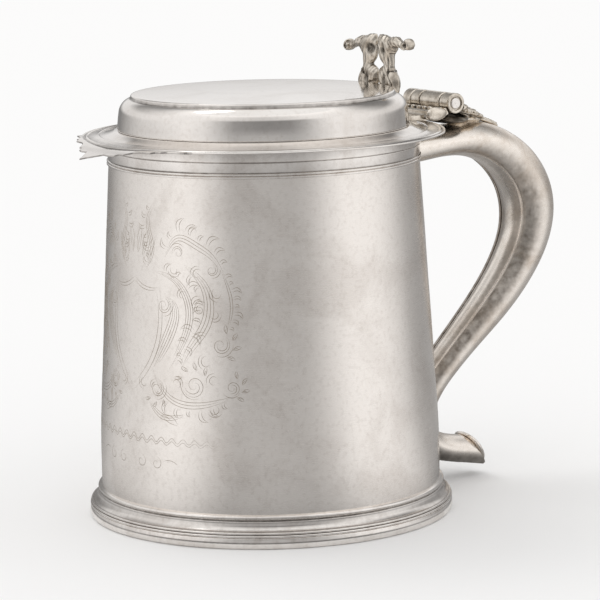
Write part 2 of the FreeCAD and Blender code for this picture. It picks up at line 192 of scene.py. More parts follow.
@dataclass(frozen=True)
class Finish:
    """A worn silver surface.

    The metal is sterling silver, annealed and polished by hand. Tarnish stays as a warm brown film
    in blotches and in every groove that a cloth can't reach, and wiping leaves hair scratches.
    """

    name: str
    silver: str = "f0ece8"       # clean metal
    film: str = "b5aaa1"         # thin warm film of tarnish, in blotches
    groove: str = "4a4036"       # thick tarnish in the recesses, and painted shade where a piece marks it
    roughness: float = 0.2
    film_share: float = 0.35     # how much of the film shows at its strongest
    film_mm: float = 22.0        # size of a blotch
    groove_share: float = 0.85
    scratch: float = 0.1         # how much scratches vary the roughness
    scratch_mm: float = 0.25     # spacing of the scratches, as coarse as shows
    bump_um: float = 1.2         # height of the scratches, in thousandths of a millimetre
    pit_um: float = 0.0          # height of a casting's grain
    pit_mm: float = 0.35
    lay: Lay = Lay.ROUND


@dataclass(frozen=True)
class Finishes:
    """The finishes of the tankard's pieces."""

    wall: Finish = Finish("silver_raised_planished", silver="f4efea", roughness=0.24,
                          film_share=0.22, scratch=0.08)
    moulding: Finish = Finish("silver_drawn_moulding", roughness=0.14, film_share=0.3, film_mm=14.0,
                              groove="3c332b", scratch=0.06)
    lid: Finish = Finish("silver_lid_polished", roughness=0.085, film="c6bcb2", film_share=0.3,
                         film_mm=30.0, groove="3c332b", scratch=0.05, bump_um=0.5)
    handle: Finish = Finish("silver_handle_worn", silver="f8f1e9", film="c4b3a1", film_share=0.42,
                            film_mm=16.0, groove="43382b", roughness=0.26, scratch=0.14,
                            scratch_mm=0.4, bump_um=2.2, lay=Lay.CROSSED)
    cast: Finish = Finish("silver_cast_chased", silver="e6ded2", film="8f8374", film_share=0.6,
                          film_mm=4.0, groove="1d1814", groove_share=0.97, roughness=0.2,
                          scratch=0.1, pit_um=6.0, lay=Lay.CROSSED)
    pin: Finish = Finish("silver_hinge_pin", roughness=0.18, film_share=0.25, film_mm=5.0,
                         groove="2a231c", scratch=0.08)
    cut: Finish = Finish("silver_engraved_cut", silver="998c7c", film="7d705f", film_share=0.6,
                         film_mm=6.0, roughness=0.3, scratch=0.05)


class Paint:
    """Builds each finish's node material once."""

    def __init__(self) -> None:
        """Starts with no material made."""
        self.made: dict[str, bpy.types.Material] = {}

    @staticmethod
    def node(tree: bpy.types.NodeTree, kind: str, values: dict | None = None,
             links: dict | None = None, **settings: object) -> bpy.types.Node:
        """Adds a node with its settings, input values and links.

        Args:
            tree: The node tree.
            kind: The node's type name.
            values: Input values by socket name or number.
            links: Output sockets to join, by input socket name or number.
            settings: Attributes of the node.

        Returns:
            The node.
        """
        made = tree.nodes.new(kind)
        for key, value in settings.items():
            setattr(made, key, value)
        for key, value in (values or {}).items():
            made.inputs[key].default_value = value
        for key, socket in (links or {}).items():
            tree.links.new(socket, made.inputs[key])
        return made

    def material(self, finish: Finish) -> bpy.types.Material:
        """The finish's material.

        Args:
            finish: The surface to make.

        Returns:
            The material, made on first use.
        """
        if finish.name not in self.made:
            self.made[finish.name] = self._build(finish)
        return self.made[finish.name]

    def _colour(self, tree: bpy.types.NodeTree, f: Finish, place: bpy.types.NodeSocket) -> tuple:
        """Silver under blotches and specks of film, and dark in the grooves and wherever painted shade
        is marked.

        Args:
            tree: The material's node tree.
            f: The surface to make.
            place: Object coordinates.

        Returns:
            Sockets of the colour, of the film's share and of the grooves' share.
        """
        add = self.node
        blotch = add(tree, "ShaderNodeTexNoise", {"Scale": PER_METRE / f.film_mm, "Detail": 5.0,
                     "Roughness": 0.6, "Distortion": 0.6}, {"Vector": place})
        blotch_mask = add(tree, "ShaderNodeMapRange", {"From Min": 0.42, "From Max": 0.68,
                          "To Min": 0.0, "To Max": f.film_share}, {"Value": blotch.outputs["Fac"]},
                          interpolation_type="SMOOTHSTEP")
        speck = add(tree, "ShaderNodeTexNoise", {"Scale": PER_METRE / SPECK_MM, "Detail": 3.0},
                    {"Vector": place})
        speck_mask = add(tree, "ShaderNodeMapRange", {"From Min": 0.5, "From Max": 0.75,
                         "To Min": 0.0, "To Max": 0.14 + 0.2 * f.film_share},
                         {"Value": speck.outputs["Fac"]})
        film_mask = add(tree, "ShaderNodeMath", links={0: blotch_mask.outputs[0],
                        1: speck_mask.outputs[0]}, operation="ADD", use_clamp=True)
        film = add(tree, "ShaderNodeMix", {6: linear(f.silver), 7: linear(f.film)},
                   {0: film_mask.outputs[0]}, data_type="RGBA")
        recess = add(tree, "ShaderNodeAttribute", attribute_name="recess")
        edge_noise = add(tree, "ShaderNodeTexNoise", {"Scale": PER_METRE / RAGGED_MM, "Detail": 4.0},
                         {"Vector": place})
        ragged = add(tree, "ShaderNodeMapRange", {"From Min": 0.3, "From Max": 0.75, "To Min": 0.55,
                     "To Max": 1.0}, {"Value": edge_noise.outputs["Fac"]})
        groove_mask = add(tree, "ShaderNodeMath", links={0: recess.outputs["Fac"],
                          1: ragged.outputs[0]}, operation="MULTIPLY")
        groove_part = add(tree, "ShaderNodeMath", {1: f.groove_share},
                          {0: groove_mask.outputs[0]}, operation="MULTIPLY", use_clamp=True)
        colour = add(tree, "ShaderNodeMix", {7: linear(f.groove)},
                     {0: groove_part.outputs[0], 6: film.outputs[2]}, data_type="RGBA")
        return colour.outputs[2], film_mask.outputs[0], groove_part.outputs[0]

    def _scratches(self, tree: bpy.types.NodeTree, f: Finish,
                   place: bpy.types.NodeSocket) -> bpy.types.NodeSocket:
        """Noise drawn out into hairs, along the piece's own map or every way.

        Args:
            tree: The material's node tree.
            f: The surface to make.
            place: Object coordinates.

        Returns:
            Socket of the scratches' height, 0 to 1.
        """
        add = self.node
        fine = PER_METRE / f.scratch_mm
        if f.lay is Lay.ROUND:
            source = add(tree, "ShaderNodeUVMap", uv_map="surface").outputs[0]
            stretch = (fine / 60, fine, fine)
        else:
            source = place
            stretch = (fine / 9, fine, fine / 3)
        turned = add(tree, "ShaderNodeMapping", {"Scale": stretch,
                     "Rotation": (0.0, 0.0, 0.0 if f.lay is Lay.ROUND else 0.9)},
                     {"Vector": source})
        hair = add(tree, "ShaderNodeTexNoise", {"Scale": 1.0, "Detail": 2.0, "Roughness": 0.7},
                   {"Vector": turned.outputs[0]})
        return hair.outputs["Fac"]

    def _build(self, f: Finish) -> bpy.types.Material:
        """Makes a finish's material.

        Tarnish dulls the metal a little, and castings keep the grain of their mould.

        Args:
            f: The surface to make.

        Returns:
            The material.
        """
        add = self.node
        material = bpy.data.materials.new(f.name)
        tree = empty_tree(material)
        place = add(tree, "ShaderNodeTexCoord").outputs["Object"]
        colour, film, groove = self._colour(tree, f, place)
        hair = self._scratches(tree, f, place)
        rough = add(tree, "ShaderNodeMapRange", {"From Min": 0.3, "From Max": 0.7,
                    "To Min": f.roughness - f.scratch / 2, "To Max": f.roughness + f.scratch / 2},
                    {"Value": hair})
        dulled = add(tree, "ShaderNodeMath", {1: GROOVE_DULL}, {0: groove, 2: rough.outputs[0]},
                     operation="MULTIPLY_ADD")
        filmed = add(tree, "ShaderNodeMath", {1: FILM_DULL}, {0: film, 2: dulled.outputs[0]},
                     operation="MULTIPLY_ADD")
        bump = add(tree, "ShaderNodeBump", {"Strength": 1.0, "Distance": f.bump_um * MM * MM},
                   {"Height": hair})
        normal = bump.outputs[0]
        if f.pit_um:
            grain = add(tree, "ShaderNodeTexNoise", {"Scale": PER_METRE / f.pit_mm, "Detail": 3.0},
                        {"Vector": place})
            grainy = add(tree, "ShaderNodeBump", {"Strength": 1.0, "Distance": f.pit_um * MM * MM},
                         {"Height": grain.outputs["Fac"], "Normal": normal})
            normal = grainy.outputs[0]
        shader = add(tree, "ShaderNodeBsdfPrincipled", {"Metallic": 1.0},
                     {"Base Color": colour, "Roughness": filmed.outputs[0],
                      "Normal": normal})
        add(tree, "ShaderNodeOutputMaterial", links={"Surface": shader.outputs[0]})
        return material


PAINT = Paint()
FINISH = Finishes()


# ---------------------------------------------------------------- meshes


@dataclass
class Patch:
    """A grid of points in millimetres, rows by columns, that makes one sheet of a piece.

    Every row is a closed ring.
    """

    points: np.ndarray
    wrap_rows: bool = False
    capped: bool = False                     # both ends closed to a point in their middle
    recess: np.ndarray | None = None         # extra tarnish and painted shade, rows by columns, 0 to 1

    def arrays(self) -> tuple[np.ndarray, list, np.ndarray, np.ndarray]:
        """Points, faces, a map in metres and the tarnish.

        Quads join neighbouring grid points. u adds up the distance along a row and v the distance
        along a column, so that a pattern keeps its real size.

        Returns:
            Points (n, 3), faces, their corners' (u, v) and the tarnish (n).
        """
        rows, columns = self.points.shape[:2]
        loop = np.concatenate([self.points, self.points[:, :1]], axis=1)
        u = np.linalg.norm(np.diff(loop, axis=1), axis=2).mean(axis=0)
        u = np.concatenate([[0.0], np.cumsum(u)])
        stack = np.concatenate([self.points, self.points[:1]], axis=0)
        v = np.linalg.norm(np.diff(stack, axis=0), axis=2).mean(axis=1)
        v = np.concatenate([[0.0], np.cumsum(v)])
        r = np.arange(rows if self.wrap_rows else rows - 1)
        c = np.arange(columns)
        rr, cc = [g.ravel() for g in np.meshgrid(r, c, indexing="ij")]
        corner_r = np.stack([rr, rr, rr + 1, rr + 1], axis=1)
        corner_c = np.stack([cc, cc + 1, cc + 1, cc], axis=1)
        index = (corner_r % rows) * columns + corner_c % columns
        uv = np.stack([u[corner_c], v[corner_r]], axis=2).reshape(-1, 2)
        points = self.points.reshape(-1, 3)
        recess = np.zeros(len(points)) if self.recess is None else self.recess.ravel()
        faces = index.tolist()
        if self.capped:
            for row in (0, rows - 1):
                ring = np.arange(columns) + row * columns
                points = np.concatenate([points, self.points[row].mean(axis=0, keepdims=True)])
                recess = np.append(recess, recess[ring].mean())
                centre = len(points) - 1
                after = np.roll(ring, -1)
                faces += np.stack([ring, after, np.full(columns, centre)], axis=1).tolist()
                fan = np.stack([u[:-1], u[1:], (u[:-1] + u[1:]) / 2], axis=1)
                level = np.tile([v[row], v[row], v[row] + 1.0], (columns, 1))
                uv = np.concatenate([uv, np.stack([fan, level], axis=2).reshape(-1, 2)])
        return points, faces, uv * MM, recess


def recess_of(mesh: bpy.types.Mesh, gain: float, spread: int) -> np.ndarray:
    """How hollow the surface is at each point.

    A neighbour d away that stands h above the tangent plane gives a curvature of 2 h / d^2. The mean
    over the neighbours, times gain in millimetres, is cut to 0..1 and averaged with its neighbours.

    Args:
        mesh: The mesh, in metres.
        gain: Millimetres that turn a curvature into a share.
        spread: Rounds of averaging.

    Returns:
        One share for each point.
    """
    count = len(mesh.vertices)
    co, normals = read(mesh, "co") / MM, read(mesh, "normal")
    edges = np.empty(len(mesh.edges) * 2, dtype=np.int64)
    mesh.edges.foreach_get("vertices", edges)
    a, b = edges.reshape(-1, 2).T
    step = co[b] - co[a]
    square = np.maximum((step ** 2).sum(axis=1), 1e-4)
    degree = np.bincount(a, minlength=count) + np.bincount(b, minlength=count)
    degree = np.maximum(degree, 1)
    rise_a = 2 * (step * normals[a]).sum(axis=1) / square
    rise_b = -2 * (step * normals[b]).sum(axis=1) / square
    hollow = np.bincount(a, rise_a, count) + np.bincount(b, rise_b, count)
    value = np.clip(hollow / degree * gain, 0, 1)
    for _ in range(spread):
        around = np.bincount(a, value[b], count) + np.bincount(b, value[a], count)
        value = 0.4 * value + 0.6 * around / degree
    return value


def make_piece(name: str, patches: list[Patch], finish: Finish, body: Body,
               nodes: tuple[str, ...] = (), gain: float = 0.8, spread: int = 2,
               voxel_mm: float = 0.0, shape: Callable | None = None,
               shade_and_stain: Callable | None = None) -> bpy.types.Object:
    """Makes a piece from its patches, dresses it and hangs it on its body.

    Args:
        name: The piece's name.
        patches: Its sheets, joined in one mesh.
        finish: Its surface.
        body: The body that it moves with.
        nodes: CAD nodes that it stands for.
        gain: Millimetres that turn hollowness into tarnish.
        spread: How far the tarnish spreads from a groove.
        voxel_mm: Size of the voxels that fuse the sheets, or none.
        shape: Moves the fused points: takes points and normals in mm and gives points.
        shade_and_stain: Extra tarnish and painted shade, 0 to 1, at points in mm.

    Returns:
        The object.
    """
    obj = show(name, join_patches(name, patches))
    if voxel_mm:
        fuse(obj, voxel_mm, shape)
    mesh = obj.data
    hollow = recess_of(mesh, gain, spread)
    attribute = mesh.attributes.get("recess") or mesh.attributes.new("recess", "FLOAT", "POINT")
    base = np.zeros(len(mesh.vertices), np.float32)
    attribute.data.foreach_get("value", base)
    if shade_and_stain:
        hollow = hollow + shade_and_stain(read(mesh, "co") / MM)
    attribute.data.foreach_set("value", np.clip(base + hollow, 0, 1).astype(np.float32))
    mesh.shade_smooth()
    mesh.set_sharp_from_angle(angle=math.radians(SHARP_DEG))
    hang(obj, finish, body, nodes)
    return obj


def hang(obj: bpy.types.Object, finish: Finish, body: Body,
         nodes: tuple[str, ...]) -> None:
    """Dresses a piece and hangs it on its body.

    Args:
        obj: The piece.
        finish: Its surface.
        body: The body that it moves with.
        nodes: CAD nodes that it stands for.
    """
    obj.data.materials.clear()
    obj.data.materials.append(PAINT.material(finish))
    if nodes:
        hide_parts(*nodes)
    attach(obj, body.value)
    LOG.info("%s: %d faces on %s", obj.name, len(obj.data.polygons), body.value)


def join_patches(name: str, patches: list[Patch]) -> bpy.types.Mesh:
    """One mesh of all the patches, with doubles merged and faces turned outwards.

    Args:
        name: The mesh's name.
        patches: The sheets.

    Returns:
        The mesh, in metres.
    """
    points: list[np.ndarray] = []
    faces: list[list[int]] = []
    maps: list[np.ndarray] = []
    marks: list[np.ndarray] = []
    count = 0
    for patch in patches:
        p, f, uv, recess = patch.arrays()
        points.append(p)
        faces += [[i + count for i in face] for face in f]
        maps.append(uv)
        marks.append(recess)
        count += len(p)
    mesh = bpy.data.meshes.new(name)
    mesh.from_pydata((np.concatenate(points) * MM).tolist(), [], faces)
    layer = mesh.uv_layers.new(name="surface")
    layer.data.foreach_set("uv", np.concatenate(maps).astype(np.float32).ravel())
    attribute = mesh.attributes.new("recess", "FLOAT", "POINT")
    attribute.data.foreach_set("value", np.concatenate(marks).astype(np.float32))
    edit(mesh, merge, face_out)
    return mesh


def fuse(obj: bpy.types.Object, voxel_mm: float, shape: Callable | None) -> None:
    """Fuses crossing sheets into one skin of small voxels, softens it and moves its points.

    Args:
        obj: The piece.
        voxel_mm: The voxels' size.
        shape: Moves the points, or none.
    """
    remesh = obj.modifiers.new("fuse", "REMESH")
    remesh.mode = "VOXEL"
    remesh.voxel_size = voxel_mm * MM
    remesh.use_smooth_shade = True
    soften = obj.modifiers.new("soften", "SMOOTH")
    soften.factor = 0.5
    soften.iterations = 3
    graph = bpy.context.evaluated_depsgraph_get()
    fused = bpy.data.meshes.new_from_object(obj.evaluated_get(graph))
    obj.modifiers.clear()
    obj.data = fused
    if shape is not None:
        moved = shape(read(fused, "co") / MM, read(fused, "normal")) * MM
        fused.vertices.foreach_set("co", moved.ravel())
        fused.update()


def arc_through(start: np.ndarray, middle: np.ndarray, end: np.ndarray, step: float) -> np.ndarray:
    """Points on the circle through three points of a plane.

    Args:
        start: First point.
        middle: A point on the arc.
        end: Last point.
        step: Greatest distance between points.

    Returns:
        Points after start up to end.
    """
    a, b = middle - start, end - start
    cross = 2 * (a[0] * b[1] - a[1] * b[0])
    centre = start + np.array([b[1] * (a @ a) - a[1] * (b @ b), a[0] * (b @ b) - b[0] * (a @ a)]) / cross
    radius = np.linalg.norm(start - centre)
    angles = [math.atan2(*(p - centre)[::-1]) for p in (start, middle, end)]
    way = 1 if cross > 0 else -1
    sweep = (way * (angles[2] - angles[0])) % TURN
    count = max(3, int(math.ceil(radius * sweep / step)))
    t = angles[0] + way * sweep * np.arange(1, count + 1) / count
    return centre + radius * np.stack([np.cos(t), np.sin(t)], axis=1)


def profile(start: tuple, steps: tuple, soft: float = 0.15, longest: float = 3.0) -> np.ndarray:
    """Closed outline from lines and arcs, with its corners worn round.

    The outline is drawn at even small steps and each point is replaced by a Gaussian mean of the
    outline about it. It is then thinned: the spacing is short where it turns and long where straight.

    Args:
        start: First corner.
        steps: End points, or an arc's middle and end.
        soft: Spread of the mean, in mm, about the radius of a corner.
        longest: Greatest distance between points.

    Returns:
        Points of the closed outline, first one not repeated.
    """
    fine = 0.04
    here = np.array(start, float)
    points = [here[None, :]]
    for step in steps + (start,):
        there = np.array(step[-2:], float)
        if len(step) == 4:
            points.append(arc_through(here, np.array(step[:2], float), there, fine))
        else:
            count = max(1, int(np.linalg.norm(there - here) / fine))
            points.append(here + (there - here) * (np.arange(1, count + 1) / count)[:, None])
        here = there
    line = even(np.concatenate(points)[:-1], fine)
    reach = int(4 * soft / fine)
    offsets = np.arange(-reach, reach + 1)
    weight = np.exp(-0.5 * (offsets * fine / soft) ** 2)
    weight /= weight.sum()
    worn = sum(w * np.roll(line, k, axis=0) for k, w in zip(offsets, weight))
    ahead = np.roll(worn, -1, axis=0) - worn
    angle = np.unwrap(np.arctan2(ahead[:, 1], ahead[:, 0]))
    bend = np.abs(np.diff(angle, append=angle[-1]))
    bend = np.minimum(bend, 0.5)
    measure = np.cumsum(np.linalg.norm(ahead, axis=1) / longest + bend / math.radians(9))
    wanted = np.linspace(0, measure[-1], int(math.ceil(measure[-1])) + 1)[:-1]
    return np.stack([np.interp(wanted, measure, worn[:, k]) for k in (0, 1)], axis=1)


def even(points: np.ndarray, step: float) -> np.ndarray:
    """The closed line through the points at even steps.

    Args:
        points: Corners, first one not repeated.
        step: Distance between points.

    Returns:
        Evenly spaced points.
    """
    closed = np.concatenate([points, points[:1]])
    length = np.concatenate([[0], np.cumsum(np.linalg.norm(np.diff(closed, axis=0), axis=1))])
    wanted = np.linspace(0, length[-1], int(length[-1] / step) + 1)[:-1]
    return np.stack([np.interp(wanted, length, closed[:, k]) for k in range(closed.shape[1])], axis=1)


def lathe(outline: np.ndarray, columns: int = 360, wave: Callable | None = None) -> Patch:
    """A closed outline of (radius, height) turned round Z: (r cos a, r sin a, z).

    Args:
        outline: Points of the outline.
        columns: Steps round the axis.
        wave: Gives a radius change from angle and height, or none.

    Returns:
        The patch.
    """
    angle = TURN * np.arange(columns) / columns
    r = np.repeat(outline[:, :1], columns, axis=1)
    z = np.repeat(outline[:, 1:], columns, axis=1)
    if wave is not None:
        r = r + wave(angle[None, :], z, r)
    return Patch(np.stack([r * np.cos(angle), r * np.sin(angle), z], axis=2), wrap_rows=True)


def barrel(outline: np.ndarray, x: float, z: float, columns: int = 96) -> Patch:
    """A closed outline of (radius, y) turned round a line along Y: (x + r cos a, y, z + r sin a).

    Args:
        outline: Radius and y at each point.
        x: Where the line is.
        z: Its height.
        columns: Steps round the turn.

    Returns:
        The patch.
    """
    angle = TURN * np.arange(columns) / columns
    r, y = outline[:, :1], outline[:, 1:]
    across = x + r * np.cos(angle)
    return Patch(np.stack([across, y + 0 * across, z + r * np.sin(angle)], axis=2), wrap_rows=True)


def cubic(t: np.ndarray, values: np.ndarray, at: np.ndarray) -> np.ndarray:
    """Natural cubic spline through values at t.

    Args:
        t: Rising parameters.
        values: One row for each parameter.
        at: Where to read the curve.

    Returns:
        One row for each reading.
    """
    n = len(t)
    h = np.diff(t)
    system = np.eye(n)
    right = np.zeros_like(values, dtype=float)
    for i in range(1, n - 1):
        system[i, i - 1:i + 2] = h[i - 1], 2 * (h[i - 1] + h[i]), h[i]
        right[i] = 6 * ((values[i + 1] - values[i]) / h[i] - (values[i] - values[i - 1]) / h[i - 1])
    second = np.linalg.solve(system, right)
    k = np.clip(np.searchsorted(t, at) - 1, 0, n - 2)
    a = ((t[k + 1] - at) / h[k])[:, None]
    b = 1 - a
    blend = (a ** 3 - a) * second[k] + (b ** 3 - b) * second[k + 1]
    return a * values[k] + b * values[k + 1] + blend * (h[k] ** 2)[:, None] / 6


def unit(vectors: np.ndarray) -> np.ndarray:
    """Vectors of length one.

    Args:
        vectors: One vector to a row.

    Returns:
        The same directions.
    """
    return vectors / np.maximum(np.linalg.norm(vectors, axis=1, keepdims=True), 1e-9)


def spaced(points: np.ndarray) -> np.ndarray:
    """Distance along the open line at each of its points.

    Args:
        points: One point to a row.

    Returns:
        One distance for each point.
    """
    return np.concatenate([[0.0], np.cumsum(np.linalg.norm(np.diff(points, axis=0), axis=1))])


def tube(path: np.ndarray, radii: np.ndarray, columns: int = 24, ribs: int = 0, depth: float = 0.0,
         rows: int = 60) -> Patch:
    """A rounded rod along a smooth line, p + side a cos t + up b sin t, closed at both ends.

    Args:
        path: Points (n, 3) that the line goes through.
        radii: Two radii at each point, along Y's side of the line and along X's.
        columns: Steps round the rod.
        ribs: Lengthwise ribs.
        depth: Their depth, as a share of the radius.
        rows: Steps along it.

    Returns:
        The patch.
    """
    t = spaced(path)
    at = np.linspace(0, t[-1], rows)
    line = cubic(t, path, at)
    size = np.maximum(cubic(t, radii, at), 0.05)
    tangent = unit(np.gradient(line, axis=0))
    up = unit(np.array([1.0, 0.0, 0.0]) - tangent * tangent[:, :1])
    side = np.cross(up, tangent)
    angle = TURN * np.arange(columns) / columns
    swell = 1 + depth * np.cos(ribs * angle)
    a = size[:, :1] * swell * np.cos(angle)
    b = size[:, 1:] * swell * np.sin(angle)
    points = line[:, None, :] + side[:, None, :] * a[:, :, None] + up[:, None, :] * b[:, :, None]
    return Patch(points, capped=True)


def ball(centre: tuple, radii: tuple, columns: int = 20, rows: int = 12) -> Patch:
    """An ellipsoid: centre + (a sin p cos t, b sin p sin t, c cos p).

    Args:
        centre: Its middle.
        radii: Its half sizes a, b and c.
        columns: Steps round it.
        rows: Steps from top to bottom.

    Returns:
        The patch.
    """
    p = np.linspace(0, math.pi, rows)[:, None]
    t = TURN * np.arange(columns) / columns
    shape = np.stack([np.sin(p) * np.cos(t), np.sin(p) * np.sin(t), np.cos(p) + 0 * t], axis=2)
    return Patch(np.array(centre) + shape * np.array(radii))


# ---------------------------------------------------------------- the vessel


@dataclass
class Vessel:
    """Raised wall, foot and rim of the tankard."""

    foot_r: float = 65.0
    foot_h: float = 11.4
    wall_foot_r: float = 60.75
    straight_top: float = 20.0
    taper_start: float = 39.0
    top_r: float = 54.65
    rim_z: float = 134.9
    wall_t: float = 1.5
    reed_z: float = 126.4
    hammer_mm: float = 0.035     # how far the planished wall wanders from a true cone
    seed: int = 11
    waves: np.ndarray = field(init=False)

    def __post_init__(self) -> None:
        """Draws the planishing's waves: turns round, waves per mm up, phase and share."""
        draw = np.random.default_rng(self.seed)
        count = 26
        round_turns = draw.integers(2, 17, count)
        up = draw.uniform(-0.09, 0.09, count)
        self.waves = np.stack([round_turns, up, draw.uniform(0, TURN, count),
                               draw.uniform(0.3, 1.0, count) / np.sqrt(round_turns)], axis=1)

    def slope(self) -> float:
        """Works out the cone.

        Returns:
            Radius lost for each millimetre up the straight cone.
        """
        bend = (self.straight_top + self.taper_start) / 2
        return (self.wall_foot_r - self.top_r) / (self.rim_z - bend)

    def radius(self, z: np.ndarray) -> np.ndarray:
        """Outside radius of the wall: straight below, a cone above, eased between by a parabola.

        Args:
            z: Heights.

        Returns:
            The radius at each height.
        """
        z = np.asarray(z, float)
        width = self.taper_start - self.straight_top
        t = np.clip((z - self.straight_top) / width, 0, 1)
        eased = self.wall_foot_r - self.slope() * width * t * t / 2
        return np.where(z > self.taper_start, self.top_r + self.slope() * (self.rim_z - z), eased)

    def planish(self, angle: np.ndarray, z: np.ndarray) -> np.ndarray:
        """Sum of long waves, faded out at the foot and at the rim.

        Args:
            angle: Turn round the body.
            z: Heights.

        Returns:
            How far the wall stands out, in mm.
        """
        total = 0.0
        for turns, up, phase, share in self.waves:
            total = total + share * np.sin(turns * angle + up * TURN * z * 0.35 + phase)
        fade = np.clip((z - self.foot_h) / 8, 0, 1) * np.clip((self.reed_z - 1 - z) / 8, 0, 1)
        return self.hammer_mm * total * fade

    def build(self) -> None:
        """Makes the wall, the foot and the rim, and dresses the base."""
        self.build_wall()
        self.build_foot()
        self.build_rim()
        dress("base_disc", FINISH.wall)

    def build_wall(self) -> None:
        """Outside and inside of the wall in one closed loop, waved only on its outside."""
        def wave(angle: np.ndarray, z: np.ndarray, r: np.ndarray) -> np.ndarray:
            """Planishing where the point is on the outside.

            Args:
                angle: Turn round the body.
                z: Heights.
                r: Radii.

            Returns:
                How far to move each point out, in mm.
            """
            outside = r > self.radius(z) - self.wall_t / 2
            return self.planish(angle, z) * outside

        low = 1.0
        heights = np.concatenate([np.linspace(low, self.foot_h, 5), np.linspace(14, 125, 64),
                                  np.linspace(127, self.rim_z, 6)])
        outside = np.stack([self.radius(heights), heights], axis=1)
        inner_heights = np.linspace(self.rim_z, low, 30)
        inside = np.stack([self.radius(inner_heights) - self.wall_t, inner_heights], axis=1)
        patch = lathe(np.concatenate([outside, inside]), 480, wave)
        make_piece("wall", [patch], FINISH.wall, Body.VESSEL, ("body_wall",), spread=0,
                   gain=0.0)

    def build_foot(self) -> None:
        """Foot moulding: band, two reeds, cavetto and bead."""
        r = self.foot_r
        outline = profile((self.wall_foot_r - 0.3, 0.05), (
            (r - 0.5, 0.05),
            (r - 0.15, 0.35),
            (r + 0.25, 2.0, r - 0.1, 3.8),
            (r - 0.55, 4.0),
            (r + 0.1, 4.4, r - 0.5, 4.85),
            (r - 0.75, 5.0),
            (r - 0.2, 5.35, r - 0.9, 5.7),
            (r - 1.2, 5.85),
            (r - 2.7, 7.0, r - 3.1, 8.9),
            (r - 3.45, 9.1),
            (r - 3.45, 9.4),
            (r - 2.85, 10.2, r - 3.6, 11.0),
            (self.wall_foot_r - 0.3, 11.35),
        ), soft=0.1)
        make_piece("foot", [lathe(outline, 420)], FINISH.moulding, Body.VESSEL,
                   ("foot_ring",), gain=1.3, spread=2)

    def build_rim(self) -> None:
        """Two reeds, a plain band and a lip round the mouth, with painted shadow on the ledge under the
        lid's flange.
        """
        z = self.reed_z
        r = float(self.radius(z))
        outline = profile((r - 0.7, z - 0.5), (
            (r + 0.1, z - 0.5),
            (r + 0.65, z, r + 0.12, z + 0.5),
            (r + 0.6, z + 1.0, r + 0.1, z + 1.5),
            (r + 0.15, z + 1.9),
            (r + 0.15, z + 4.8),
            (r + 0.05, z + 5.0),
            (r + 0.6, z + 5.4),
            (r + 0.6, self.rim_z - 0.5),
            (r + 0.5, self.rim_z - 0.1, r + 0.1, self.rim_z),
            (r - 0.9, self.rim_z),
        ), soft=0.08)
        band = lathe(outline, 420)
        # Painted shadow: the band's top rows, under the lid's flange, are darkened as the shade in that
        # gap.
        ledge_shadow = np.clip((outline[:, 1] - self.rim_z + 0.75) / 0.5, 0, 1)
        band.recess = ledge_shadow[:, None] + np.zeros(band.points.shape[:2])
        make_piece("rim", [band], FINISH.moulding, Body.VESSEL,
                   ("rim_moulding",), gain=1.6, spread=1)


def dress(node: str, finish: Finish) -> None:
    """Gives a CAD node its finish.

    Args:
        node: The node's name.
        finish: Its surface.
    """
    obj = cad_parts[node]
    obj.data.materials.clear()
    obj.data.materials.append(PAINT.material(finish))


# ---------------------------------------------------------------- engraving


